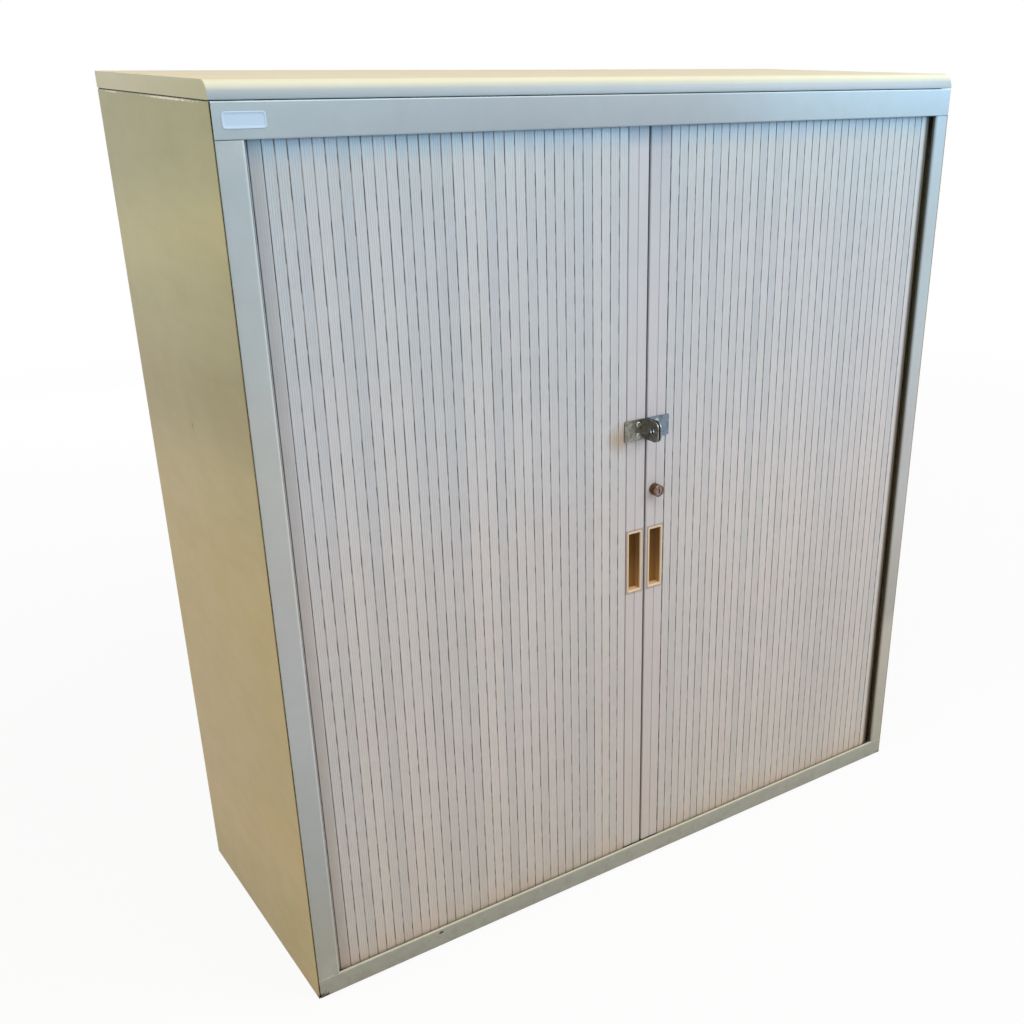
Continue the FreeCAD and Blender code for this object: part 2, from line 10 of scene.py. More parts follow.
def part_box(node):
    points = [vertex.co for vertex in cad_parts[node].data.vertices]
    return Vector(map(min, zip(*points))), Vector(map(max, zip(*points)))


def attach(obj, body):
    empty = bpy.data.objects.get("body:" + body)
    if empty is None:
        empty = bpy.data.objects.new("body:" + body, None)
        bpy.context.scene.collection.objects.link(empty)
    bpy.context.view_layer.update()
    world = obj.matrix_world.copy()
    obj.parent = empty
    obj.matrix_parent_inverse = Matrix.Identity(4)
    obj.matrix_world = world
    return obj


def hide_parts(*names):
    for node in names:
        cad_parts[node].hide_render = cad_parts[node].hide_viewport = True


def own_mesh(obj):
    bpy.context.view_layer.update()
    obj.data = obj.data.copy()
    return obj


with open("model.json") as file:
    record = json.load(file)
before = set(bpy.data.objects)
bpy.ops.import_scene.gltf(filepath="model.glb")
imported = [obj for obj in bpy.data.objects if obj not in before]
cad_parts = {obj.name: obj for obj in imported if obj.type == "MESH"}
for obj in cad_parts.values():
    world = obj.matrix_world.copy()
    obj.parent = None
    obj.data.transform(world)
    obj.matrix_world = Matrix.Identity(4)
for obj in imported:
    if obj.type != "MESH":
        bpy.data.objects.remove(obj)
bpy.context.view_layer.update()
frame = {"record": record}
scene = bpy.context.scene
mm = 0.001

# What every piece sits against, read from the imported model
capLow, capHigh = (np.array(c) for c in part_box("top_cap"))
headerLow, headerHigh = (np.array(c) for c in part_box("header_rail"))
railLow, railHigh = (np.array(c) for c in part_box("bottom_rail"))
panelLow, panelHigh = (np.array(c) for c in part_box("right_side_panel"))
postLow = np.array(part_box("right_lead_post")[0])
cupLow, cupHigh = (np.array(c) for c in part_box("right_handle_cup"))
cupMiddle, cupHalf = (cupLow + cupHigh) / 2, (cupHigh - cupLow) / 2
frontY = headerLow[1]
curtainY = postLow[1]
slotOf = {part["node"]: part["material_slot"] for part in frame["record"]["subparts"]}
bodyOf = {node: body for body, nodes in frame["record"]["behaviour"]["bodies"].items() for node in nodes}


def gridFaces(rows, cols, wrapRows=False, wrapCols=False):
    # Quads of a grid of points numbered row by row; a wrapped direction joins its last line to its first
    i = np.arange(rows if wrapRows else rows - 1)[:, None]
    j = np.arange(cols if wrapCols else cols - 1)[None, :]
    a = i * cols + j
    b = i * cols + (j + 1) % cols
    c = ((i + 1) % rows) * cols + (j + 1) % cols
    d = ((i + 1) % rows) * cols + j
    return np.stack([a, b, c, d], axis=-1).reshape(-1, 4)


def putObject(name, data):
    item = bpy.data.objects.new(name, data)
    scene.collection.objects.link(item)
    return item


def putPiece(name, points, faces, body, slotName, material, hides=(), sharp=40.0, marks=None):
    # One mesh object at the origin, shaded smooth with its sharper edges kept crisp
    mesh = bpy.data.meshes.new(name)
    mesh.from_pydata(np.asarray(points).reshape(-1, 3).tolist(), [], [list(map(int, f)) for f in faces])
    mesh.validate()
    mesh.update()
    mesh.shade_smooth()
    mesh.set_sharp_from_angle(angle=math.radians(sharp))
    for label, values in (marks or {}).items():
        layer = mesh.attributes.new(label, "FLOAT", "POINT")
        layer.data.foreach_set("value", np.asarray(values, dtype=np.float32))
    mesh.materials.append(material)
    piece = putObject(name, mesh)
    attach(piece, body)
    if hides:
        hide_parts(*hides)
    return piece


def roundedLine(corners, radius, steps=6):
    # A line through the corners with each inner corner turned into an arc of the given radius
    corners = np.asarray(corners, dtype=float)
    pieces = [corners[:1]]
    for before, corner, after in zip(corners, corners[1:], corners[2:]):
        a, b = before - corner, after - corner
        a, b = a / np.linalg.norm(a), b / np.linalg.norm(b)
        half = 0.5 * math.acos(float(np.clip(a @ b, -1, 1)))
        centre = corner + (a + b) / np.linalg.norm(a + b) * radius / math.sin(half)
        start, end = corner + a * radius / math.tan(half), corner + b * radius / math.tan(half)
        u, v = start - centre, end - centre
        t = np.linspace(0, 1, steps + 1)[:, None]
        sweep = math.acos(float(np.clip(u @ v / radius ** 2, -1, 1)))
        pieces.append(centre + (np.sin((1 - t) * sweep) * u + np.sin(t * sweep) * v) / math.sin(sweep))
    pieces.append(corners[-1:])
    return np.concatenate(pieces)


def lineNormals(line):
    # Unit normals to the left of an open line, averaged at its points
    step = np.diff(line, axis=0)
    step /= np.linalg.norm(step, axis=1, keepdims=True)
    tangent = np.concatenate([step[:1], step[:-1] + step[1:], step[-1:]])
    tangent /= np.linalg.norm(tangent, axis=1, keepdims=True)
    return np.stack([-tangent[:, 1], tangent[:, 0]], axis=1)


def thickened(line, thickness):
    # The closed loop round a line, half the thickness to each side
    away = lineNormals(line) * thickness / 2
    return np.concatenate([line + away, (line - away)[::-1]])


def carriedUp(loop, heights):
    # The loop's points repeated at each height
    points = np.zeros((len(heights), len(loop), 3))
    points[..., :2] = loop[None]
    points[..., 2] = heights[:, None]
    return points


def sheetPoints(corners, radius, thickness, stations, axis):
    # A folded sheet: its line is thickened to both sides and carried along one axis
    loop = thickened(roundedLine(corners, radius), thickness)
    stations = np.asarray(stations, dtype=float)
    points = np.zeros((len(stations), len(loop), 3))
    across = [k for k in range(3) if k != axis]
    points[:, :, axis] = stations[:, None]
    points[:, :, across[0]] = loop[None, :, 0]
    points[:, :, across[1]] = loop[None, :, 1]
    return points


def sheetFaces(points, flip=False):
    # Sides of the carried loop, and both ends closed by quads from one skin to the other
    rows, cols = points.shape[:2]
    faces = [list(f) for f in gridFaces(rows, cols, wrapCols=True)]
    k = cols // 2
    i = np.arange(k - 1)
    low = np.stack([i, cols - 1 - i, cols - 2 - i, i + 1], axis=1)
    high = low[:, ::-1] + (rows - 1) * cols
    faces += [list(f) for f in low] + [list(f) for f in high]
    return [f[::-1] for f in faces] if flip else faces


def roundedRectangle(halfWidth, halfHeight, radius, steps=6):
    # Points of a rectangle with round corners, anticlockwise
    turn = np.linspace(0, math.pi / 2, steps + 1)
    corner = np.stack([np.cos(turn), np.sin(turn)], axis=1) * radius
    centres = np.array([[1, 1], [-1, 1], [-1, -1], [1, -1]]) * [halfWidth - radius, halfHeight - radius]
    quarter = [[1, 0], [0, 1]]
    loops = []
    for centre in centres:
        loops.append(centre + corner @ np.array(quarter))
        quarter = [[quarter[0][1] * -1, quarter[0][0]], [quarter[1][1] * -1, quarter[1][0]]]
    return np.concatenate(loops)


def stackedRings(rings, halfWidth, halfHeight, centre, sign=1):
    # Rounded rectangles given as (how far in from the edge, corner radius, depth), round a centre (x, z)
    points = []
    for inset, corner, y in rings:
        ring = roundedRectangle(halfWidth - inset, halfHeight - inset, corner)
        points.append(np.column_stack([(centre[0] + ring[:, 0]) * sign, np.full(len(ring), y),
                                       centre[1] + ring[:, 1]]))
    return np.array(points)


def loftFaces(rows, cols, flip=False):
    # Rings joined in order, with the first and the last closed by one face each
    faces = [list(f) for f in gridFaces(rows, cols, wrapCols=True)]
    faces.append(list(range(cols))[::-1])
    faces.append(list(range((rows - 1) * cols, rows * cols)))
    return [f[::-1] for f in faces] if flip else faces


# Materials: small helpers first, then three shared effects, then the finishes
white = (1, 1, 1)


def newGroup(name, inputs, outputs):
    # A node group with its inputs as (label, kind, value) and its outputs as (label, kind)
    group = bpy.data.node_groups.new(name, "ShaderNodeTree")
    for label, kind, value in inputs:
        socket = group.interface.new_socket(name=label, in_out="INPUT", socket_type="NodeSocket" + kind)
        socket.default_value = value
    for label, kind in outputs:
        group.interface.new_socket(name=label, in_out="OUTPUT", socket_type="NodeSocket" + kind)
    return group, group.nodes.new("NodeGroupInput").outputs, group.nodes.new("NodeGroupOutput").inputs


def putOut(group, end, *sources):
    # Links the group's outputs, in their order
    for socket, source in zip(end, sources):
        group.links.new(source, socket)


def node(tree, kind, links=None, **values):
    # A node with its settings, plus links as {input name or number: output socket}
    made = tree.nodes.new(kind)
    for key, value in values.items():
        if key.startswith("in_"):
            made.inputs[key[3:].replace("_", " ")].default_value = value
        else:
            setattr(made, key, value)
    for key, source in (links or {}).items():
        tree.links.new(source, made.inputs[key])
    return made


def feed(tree, socket, value):
    # Links a socket to another node's output, or sets its number or colour
    if hasattr(value, "is_linked"):
        tree.links.new(value, socket)
    else:
        socket.default_value = (*value, 1) if hasattr(value, "__len__") and len(value) == 3 else value


def mathOf(tree, operation, *values, clamp=False):
    made = node(tree, "ShaderNodeMath", operation=operation, use_clamp=clamp)
    for socket, value in zip(made.inputs, values):
        feed(tree, socket, value)
    return made.outputs[0]


def product(tree, first, *others):
    # Masks multiplied together
    for other in others:
        first = mathOf(tree, "MULTIPLY", first, other)
    return first


def opposite(tree, mask):
    return mathOf(tree, "SUBTRACT", 1.0, mask)


def blendColour(tree, factor, first, second, blendType="MIX"):
    # Mix of two colours; a colour may be a socket or three numbers
    mix = node(tree, "ShaderNodeMix", data_type="RGBA", blend_type=blendType)
    for number, value in ((0, factor), (6, first), (7, second)):
        feed(tree, mix.inputs[number], value)
    return mix.outputs[2]


def timesColour(tree, colour, other):
    return blendColour(tree, 1.0, colour, other, "MULTIPLY")


def tinted(tree, mask, colour, tint):
    # The colour times a tint where the mask is 1, and as it was where the mask is 0
    return blendColour(tree, mask, colour, timesColour(tree, colour, tint))


def noiseOf(tree, coordinates, scale, detail=3.0, roughness=0.5):
    made = node(tree, "ShaderNodeTexNoise", {"Vector": coordinates}, in_Scale=scale, in_Detail=detail,
                in_Roughness=roughness)
    return made.outputs["Fac"]


def rampOf(tree, value, low, high):
    # 0 below low, 1 above high, straight between
    made = node(tree, "ShaderNodeMapRange", {"Value": value}, clamp=True)
    feed(tree, made.inputs["From Min"], low)
    feed(tree, made.inputs["From Max"], high)
    return made.outputs["Result"]


def stretched(tree, place, scale):
    return node(tree, "ShaderNodeMapping", {"Vector": place}, in_Scale=scale).outputs["Vector"]


def objectPlace(tree):
    # The point's place on the object, whole and as x, y and z
    place = node(tree, "ShaderNodeTexCoord").outputs["Object"]
    return place, *node(tree, "ShaderNodeSeparateXYZ", {0: place}).outputs


def facing(tree):
    # The way the surface looks, as x, y and z
    normal = node(tree, "ShaderNodeNewGeometry").outputs["Normal"]
    return tuple(node(tree, "ShaderNodeSeparateXYZ", {0: normal}).outputs)


# The height, up, side and right spans place painted light and shade; the other entries are the paint's own ageing
ageingAndLight = dict(  # spans run from none to full, in metres for places; noises are scale, detail, roughness
    highSpan=(0.65, 1.24), upSpan=(0.25, 0.9), sideSpan=(0.5, 0.95), rightSpan=(0.10, 0.60),
    rightHeight=(1.02, 1.24), cloudStretch=(1.0, 0.32, 1.25), cloud=(3.2, 4.0, 0.55), mottle=(38.0, 4.0, 0.6),
    mottleShare=0.9, blushStretch=(1.0, 0.3, 2.6), blush=(4.6, 3.0, 0.5), blushSpan=(0.5, 0.72),
    blushTint=(1.16, 0.97, 0.98), smearAndShadow=(14.0, 5.0, 0.65), smearRoughness=0.16, ridgeSpan=(0.53, 0.62),
    rubSpan=(0.40, 0.62), wearAndHighlight=(0.72, 0.70, 0.62), footSpan=(0.0, 0.055), speckle=(60.0, 6.0, 0.7),
    speckleSpan=(0.46, 0.7), dirtAndShade=(0.10, 0.075, 0.045), peel=(420.0, 2.0, 0.5), peelDepth=0.6 * mm)


def buildAgedPaintAndLightGroup():
    # Aged paint with painted light and shade: cooler high up, warmer and darker low down, brighter on upward and
    # sideways faces and at the top right; cloudy patches, handling smears and orange peel
    a = ageingAndLight
    group, start, end = newGroup("agedPaintAndLight", [
        ("Colour", "Color", (0.5, 0.5, 0.5, 1)), ("Painted light high", "Color", (0.9, 1, 1.1, 1)),
        ("Painted light low", "Color", (1, 0.96, 0.88, 1)), ("Clouding", "Float", 0.08), ("Roughness", "Float", 0.42),
        ("Peel", "Float", 0.06), ("Grime", "Float", 0.3), ("Painted light up", "Color", (1, 1, 1, 1)),
        ("Painted light side", "Color", (1, 1, 1, 1)), ("Wear", "Float", 0.3), ("Painted light right", "Color", (1, 1, 1, 1)),
        ("Low reach", "Float", 0.75)], [("Colour", "Color"), ("Roughness", "Float"), ("Normal", "Vector")])
    place, x, _, z = objectPlace(group)
    surface = node(group, "ShaderNodeNewGeometry").outputs
    towardsX, _, towardsZ = node(group, "ShaderNodeSeparateXYZ", {0: surface["Normal"]}).outputs
    # Painted light and shade by height: cooler high up, warmer and darker low down
    byHeight = blendColour(group, rampOf(group, z, *a["highSpan"]), white, start["Painted light high"])
    low = opposite(group, rampOf(group, z, 0.0, start["Low reach"]))
    byHeight = blendColour(group, low, byHeight, start["Painted light low"], "MULTIPLY")
    colour = timesColour(group, start["Colour"], byHeight)
    # Painted light on faces that look up, on faces that look sideways, and at the top right
    sideways = rampOf(group, mathOf(group, "ABSOLUTE", towardsX), *a["sideSpan"])
    rightTop = product(group, rampOf(group, x, *a["rightSpan"]), rampOf(group, z, *a["rightHeight"]))
    for mask, label in ((rampOf(group, towardsZ, *a["upSpan"]), "Painted light up"), (sideways, "Painted light side"),
                        (rightTop, "Painted light right")):
        colour = tinted(group, mask, colour, start[label])
    drawn = stretched(group, place, a["cloudStretch"])
    for grain, share in ((a["cloud"], 1.0), (a["mottle"], a["mottleShare"])):
        cloud = mathOf(group, "SUBTRACT", noiseOf(group, drawn, *grain), 0.5)
        strength = product(group, start["Clouding"], share)
        colour = timesColour(group, colour, mathOf(group, "MULTIPLY_ADD", cloud, strength, 1.0))
    blush = noiseOf(group, stretched(group, place, a["blushStretch"]), *a["blush"])
    blush = product(group, rampOf(group, blush, *a["blushSpan"]), start["Clouding"])
    colour = tinted(group, blush, colour, a["blushTint"])
    smearAndShadow = noiseOf(group, place, *a["smearAndShadow"])
    rub = product(group, rampOf(group, surface["Pointiness"], *a["ridgeSpan"]),
                  rampOf(group, smearAndShadow, *a["rubSpan"]), start["Wear"])
    colour = blendColour(group, rub, colour, a["wearAndHighlight"])
    speckle = rampOf(group, noiseOf(group, place, *a["speckle"]), *a["speckleSpan"])
    dirtAndShade = product(group, opposite(group, rampOf(group, z, *a["footSpan"])), speckle, start["Grime"])
    colour = blendColour(group, dirtAndShade, colour, a["dirtAndShade"])
    rough = mathOf(group, "MULTIPLY_ADD", mathOf(group, "SUBTRACT", smearAndShadow, 0.5), a["smearRoughness"],
                   start["Roughness"])
    height = noiseOf(group, place, *a["peel"])
    peel = node(group, "ShaderNodeBump", {"Height": height, "Strength": start["Peel"]},
                in_Distance=a["peelDepth"])
    putOut(group, end, colour, rough, peel.outputs["Normal"])
    return group


plating = dict(toneShare=0.35, toneRoughness=0.14, spot=(140.0, 4.0, 0.6), spotSpan=(0.5, 0.72), spotShare=0.8,
               scratchStretch=(1.0, 1.0, 30.0), scratch=(60.0, 3.0, 0.6), scratchStrength=0.12,
               scratchDepth=0.4 * mm)


def buildMetalGroup():
    # Plated steel: fine drawn lines along one axis, cloudy spangle and a few dull spots
    p = plating
    group, start, end = newGroup("platedMetal", [
        ("Colour", "Color", (0.6, 0.6, 0.6, 1)), ("Dull", "Color", (0.4, 0.38, 0.35, 1)),
        ("Roughness", "Float", 0.3), ("Spangle", "Float", 260.0)],
        [("Colour", "Color"), ("Roughness", "Float"), ("Normal", "Vector")])
    place = objectPlace(group)[0]
    cells = node(group, "ShaderNodeTexVoronoi", {"Vector": place, "Scale": start["Spangle"]})
    tone = node(group, "ShaderNodeSeparateColor", {0: cells.outputs["Color"]}).outputs[0]
    spot = rampOf(group, noiseOf(group, place, *p["spot"]), *p["spotSpan"])
    colour = blendColour(group, product(group, tone, p["toneShare"]), start["Colour"], start["Dull"])
    colour = blendColour(group, product(group, spot, p["spotShare"]), colour, start["Dull"])
    rough = mathOf(group, "MULTIPLY_ADD", tone, p["toneRoughness"], start["Roughness"])
    scratch = noiseOf(group, stretched(group, place, p["scratchStretch"]), *p["scratch"])
    bump = node(group, "ShaderNodeBump", {"Height": scratch}, in_Strength=p["scratchStrength"],
                in_Distance=p["scratchDepth"])
    putOut(group, end, colour, rough, bump.outputs["Normal"])
    return group


spotEdge = dict(detail=5.0, roughness=0.7, cut=(0.72, 0.80))


def buildSpotGroup():
    # Mask of broken spots round one place: nearness within the reach, plus noise, cut off sharply
    group, start, end = newGroup("wornSpots", [
        ("Centre", "Vector", (0, 0, 0)), ("Squeeze", "Vector", (1, 1, 1)), ("Reach", "Float", 0.04),
        ("Grain", "Float", 180.0), ("Amount", "Float", 0.5)], [("Mask", "Float")])
    place = objectPlace(group)[0]
    away = place
    for operation, label in (("SUBTRACT", "Centre"), ("MULTIPLY", "Squeeze")):
        away = node(group, "ShaderNodeVectorMath", {0: away, 1: start[label]}, operation=operation).outputs[0]
    far = node(group, "ShaderNodeVectorMath", {0: away}, operation="LENGTH").outputs["Value"]
    near = mathOf(group, "SUBTRACT", 1.0, mathOf(group, "DIVIDE", far, start["Reach"]), clamp=True)
    grain = node(group, "ShaderNodeTexNoise", {"Vector": place, "Scale": start["Grain"]},
                 in_Detail=spotEdge["detail"], in_Roughness=spotEdge["roughness"]).outputs["Fac"]
    mask = mathOf(group, "ADD", product(group, near, start["Amount"]), grain)
    putOut(group, end, rampOf(group, mask, *spotEdge["cut"]))
    return group


agedPaintAndLight = buildAgedPaintAndLightGroup()
platedMetal = buildMetalGroup()
wornSpots = buildSpotGroup()


def placeGroup(tree, group, values):
    used = tree.nodes.new("ShaderNodeGroup")
    used.node_tree = group
    for key, value in values.items():
        isPlace = used.inputs[key].type == "VECTOR"
        used.inputs[key].default_value = (*value, 1) if hasattr(value, "__len__") and not isPlace else value
    return used.outputs


def shaderFor(name, group, groupValues, **constants):
    # A material with one Principled shader fed by a group; plain numbers sit on the shader itself
    material = bpy.data.materials.new(name)
    material.use_nodes = True
    tree = material.node_tree
    shader = tree.nodes["Principled BSDF"]
    for key, value in constants.items():
        shader.inputs[key.replace("_", " ")].default_value = value
    made = placeGroup(tree, group, groupValues)
    for label, socket in (("Colour", "Base Color"), ("Roughness", "Roughness"), ("Normal", "Normal")):
        tree.links.new(made[label], shader.inputs[socket])
    return material


def colourOf(material):
    # The material's tree, its shader, and the colour that feeds it so far
    shader = material.node_tree.nodes["Principled BSDF"]
    return material.node_tree, shader, shader.inputs["Base Color"].links[0].from_socket


def recolour(material, colour):
    tree, shader, _ = colourOf(material)
    tree.links.new(colour, shader.inputs["Base Color"])


def paint(name, colour, high=white, low=white, clouding=0.08, roughness=0.42, peel=0.06, grime=0.3, up=white,
          side=white, wear=0.3, spots=(), gloss=0.35, right=white, lowReach=0.75):
    # Aged paint, with chips and rust at the places that the spots name; high, low, up, side and right are tints
    # of painted light and shade
    material = shaderFor(name, agedPaintAndLight, {
        "Colour": colour, "Painted light high": high, "Painted light low": low, "Clouding": clouding, "Roughness": roughness,
        "Peel": peel, "Grime": grime, "Painted light up": up, "Painted light side": side, "Wear": wear, "Painted light right": right,
        "Low reach": lowReach}, Specular_IOR_Level=gloss)
    tree, _, result = colourOf(material)
    for *values, spotColour in spots:
        values = dict(zip(("Centre", "Squeeze", "Reach", "Grain", "Amount"), values))
        result = blendColour(tree, placeGroup(tree, wornSpots, values)["Mask"], result, spotColour)
    recolour(material, result)
    return material


rust = (0.055, 0.032, 0.018)
paleChip = (0.62, 0.58, 0.47)
bareEdge = (0.74, 0.70, 0.58)
scratchBrown = (0.20, 0.15, 0.07)
frontSpots = (  # centre, squeeze on each axis, reach, grain, amount, colour
    ((-0.598, -0.2118, 0.003), (1, 1, 2.2), 0.030, 260.0, 0.50, rust),
    ((0.598, -0.2118, 0.003), (1, 1, 2.2), 0.020, 260.0, 0.45, rust),
    ((-0.395, -0.2118, 0.0275), (1, 1, 2.0), 0.006, 420.0, 0.75, rust),
    ((-0.585, -0.2118, 0.0345), (0.8, 1, 7), 0.018, 260.0, 0.5, paleChip))
sideSpots = (
    ((-0.6, -0.07, 1.2462), (1, 0.11, 7.0), 0.022, 150.0, 0.42, bareEdge),
    ((-0.6, 0.17, 1.2462), (1, 0.2, 8.0), 0.016, 150.0, 0.40, bareEdge),
    ((-0.6, 0.02, 0.832), (1, 2.2, 1), 0.009, 420.0, 0.55, scratchBrown),
    ((-0.6, -0.2115, 0.003), (1, 1, 1.6), 0.022, 260.0, 0.45, rust))
# The front's up tint is painted light on its ledge and tops, and its side tint is a painted highlight on its
# rounded inner edges
finishes = {
    "frontPaint": dict(colour=(0.525, 0.508, 0.458), high=(0.81, 1.04, 1.31), low=(0.66, 0.66, 0.60),
                       lowReach=0.45, clouding=0.13, up=(1.75, 1.73, 1.58), side=(1.24, 1.24, 1.22),
                       right=(1.07, 1.24, 1.38), wear=0.45, spots=frontSpots),
    # The sides' khaki is painted warm light from the left on the front's beige-grey paint
    "sidePaint": dict(colour=(0.390, 0.314, 0.131), high=(0.87, 1.04, 1.31), low=(1.06, 0.88, 0.65),
                      clouding=0.20, roughness=0.40, gloss=0.22, spots=sideSpots),
    # The cap's blue-grey is painted cool light from the front on the same paint
    "capPaint": dict(colour=(0.372, 0.455, 0.525), roughness=0.34, wear=0.2, right=(1.04, 1.10, 1.14)),
    "innerPaint": dict(colour=(0.42, 0.41, 0.39), grime=0.1),
    "ceilingPaint": dict(colour=(0.42, 0.41, 0.39), grime=0.1),
    "postPaint": dict(colour=(0.635, 0.590, 0.605), high=(0.88, 1.02, 1.11), low=(0.92, 0.84, 0.73),
                      peel=0.03, wear=0.1, roughness=0.5, right=(1.0, 1.06, 1.08)),
    "slatPlastic": dict(colour=(0.648, 0.618, 0.622), high=(0.84, 1.01, 1.11), low=(0.92, 0.85, 0.74),
                        clouding=0.12, roughness=0.5, peel=0.03, grime=0.15, wear=0.0, right=(1.0, 1.06, 1.06)),
    "cupPlastic": dict(colour=(0.76, 0.60, 0.43), clouding=0.15, roughness=0.36, peel=0.04, grime=0.0,
                       wear=0.9, gloss=0.15),
}
paints = {key: paint(key, **values) for key, values in finishes.items()}

capTints = dict(  # span of the way the face looks, tint
    rear=((0.4, 0.9), (1.20, 0.95, 0.50)), half=((0.12, 0.50), (1.20, 1.10, 0.98)),
    nose=((0.36, 0.72), (1.72, 1.49, 1.10)), flat=((0.90, 0.995), (0.87, 0.745, 0.60)),
    ends=((0.4, 0.9), (1.20, 0.95, 0.50)), gloss=0.35, flatGloss=0.08)


def tintCap():
    # The cap by the way its faces look: grey front, a painted cream highlight where it rounds over, tan top, and
    # khaki ends and back in painted warm light
    c = capTints
    tree, shader, base = colourOf(paints["capPaint"])
    towardsX, towardsY, towardsZ = facing(tree)
    sources = dict(rear=towardsY, half=towardsZ, nose=towardsZ, flat=towardsZ,
                   ends=mathOf(tree, "ABSOLUTE", towardsX))
    for label, source in sources.items():
        span, tint = c[label]
        mask = rampOf(tree, source, *span)
        base = tinted(tree, mask, base, tint)
        if label == "flat":
            gloss = mathOf(tree, "MULTIPLY_ADD", mask, c["flatGloss"] - c["gloss"], c["gloss"])
            tree.links.new(gloss, shader.inputs["Specular IOR Level"])
    recolour(paints["capPaint"], base)


panelBands = dict(
    bands=(  # height of the middle, reach to each side, tint
        (1.055, 0.105, (1.22, 1.21, 1.16)), (0.845, 0.115, (0.82, 0.79, 0.76)),
        (0.60, 0.27, (1.07, 1.03, 0.97)), (0.02, 0.14, (0.84, 0.93, 0.81))),
    waveScale=4.0, waveHeight=0.03, tilt=0.14, tiltFrom=0.237, leftSpan=(-0.597, -0.590), elsewhere=-0.65)


def bandPanels():
    # The big flat sheets get painted reflections of the room as soft tilted bands, a little wavy, weaker on the
    # back and right side
    p = panelBands
    tree, _, colour = colourOf(paints["sidePaint"])
    place, x, y, z = objectPlace(tree)
    wave = mathOf(tree, "SUBTRACT", noiseOf(tree, place, p["waveScale"], 2.0), 0.5)
    wave = product(tree, wave, p["waveHeight"])
    fall = product(tree, mathOf(tree, "SUBTRACT", y, p["tiltFrom"]), p["tilt"])
    height = mathOf(tree, "ADD", mathOf(tree, "ADD", z, fall), wave)
    amount = mathOf(tree, "MULTIPLY_ADD", rampOf(tree, x, *p["leftSpan"]), p["elsewhere"], 1.0)
    for middle, reach, tint in p["bands"]:
        far = rampOf(tree, mathOf(tree, "ABSOLUTE", mathOf(tree, "SUBTRACT", height, middle)), 0.0, reach)
        far.node.interpolation_type = "SMOOTHSTEP"
        colour = tinted(tree, product(tree, opposite(tree, far), amount), colour, tint)
    recolour(paints["sidePaint"], colour)


seamShadow = dict(span=(1.244, 1.246), colour=(0.012, 0.012, 0.01), gloss=0.1)


def darkenSeam():
    # The ceiling's flanges lie in shadow behind the seam under the cap
    tree, shader, base = colourOf(paints["ceilingPaint"])
    shadow = rampOf(tree, objectPlace(tree)[3], *seamShadow["span"])
    recolour(paints["ceilingPaint"], blendColour(tree, shadow, base, seamShadow["colour"]))
    shader.inputs["Specular IOR Level"].default_value = seamShadow["gloss"]


frontTints = dict(
    bands=(  # side, heights where it begins, heights where it ends, tint
        (1, (-0.2, -0.1), (0.28, 0.32), (1.12, 1.05, 1.01)),
        (1, (0.29, 0.32), (0.42, 0.56), (0.87, 0.84, 0.86)),
        (1, (0.42, 0.56), (0.68, 0.82), (0.95, 0.965, 1.07)),
        (1, (0.68, 0.82), (0.95, 1.15), (0.99, 1.08, 1.16)),
        (-1, (0.10, 0.22), (0.62, 0.80), (0.915, 0.955, 1.06))),
    stileSpan=(0.50, 0.56), railEdge=0.8 * mm, highlightSpan=(-0.5692, -0.5680), highlightLeft=(0.0, -0.1),
    highlightDepth=(0.05 * mm, 0.6 * mm), wearAndHighlight=(1.2, 1.2, 1.2),
    bendSpan=(0.5775, 0.5785), bendDepth=(0.3 * mm, 3.6 * mm), bend=(0.16, 0.15, 0.14),
    middleRight=(0.06, 0.26), middleLeft=(-0.52, -0.20), middle=(0.90, 0.855, 0.86))


def shadeFront():
    # The left stile's inner bend is lighter with a painted highlight and the right one's lies in painted shadow;
    # the stiles turn cooler at half height and the right one warmer near its foot, painted light, and the header
    # is a little darker in its middle
    f = frontTints
    tree, _, base = colourOf(paints["frontPaint"])
    _, x, y, z = objectPlace(tree)
    aboveRail = rampOf(tree, z, railHigh[2], railHigh[2] + f["railEdge"])
    # Painted highlight on the left stile's rounded inner bend
    wearAndHighlight = product(tree, rampOf(tree, x, *f["highlightSpan"]), rampOf(tree, x, *f["highlightLeft"]),
                     rampOf(tree, y, *(frontY + depth for depth in f["highlightDepth"])), aboveRail)
    base = tinted(tree, wearAndHighlight, base, f["wearAndHighlight"])
    # Painted light: cooler and warmer bands by height on the stiles
    for sign, rise, fall, tint in f["bands"]:
        onStile = rampOf(tree, product(tree, x, sign), *f["stileSpan"])
        falls = opposite(tree, rampOf(tree, z, *fall))
        base = tinted(tree, product(tree, rampOf(tree, z, *rise), falls, onStile, aboveRail), base, tint)
    # Painted shadow on the right stile's inner bend
    inner = opposite(tree, rampOf(tree, x, *f["bendSpan"]))
    bend = product(tree, rampOf(tree, y, *(frontY + depth for depth in f["bendDepth"])),
                   rampOf(tree, x, *f["stileSpan"]), inner, aboveRail)
    base = tinted(tree, bend, base, f["bend"])
    middle = product(tree, opposite(tree, rampOf(tree, x, *f["middleRight"])),
                     rampOf(tree, x, *f["middleLeft"]), rampOf(tree, z, headerLow[2] - 1 * mm, headerLow[2]))
    recolour(paints["frontPaint"], tinted(tree, middle, base, f["middle"]))


postTints = dict(
    shadows=(((1.176, 1.206), (0.78, 0.94, 1.07)), ((1.180, 1.198), (0.75, 0.81, 0.87))),  # heights, tint
    rightSpan=(-0.001, 0.001), rightHeight=(1.05, 1.18), right=(0.88, 0.91, 0.93),
    dirtAndShadeSpan=(0.2 * mm, 4.2 * mm), dirtAndShadeShare=0.8, dirtAndShade=(0.56, 0.44, 0.36))


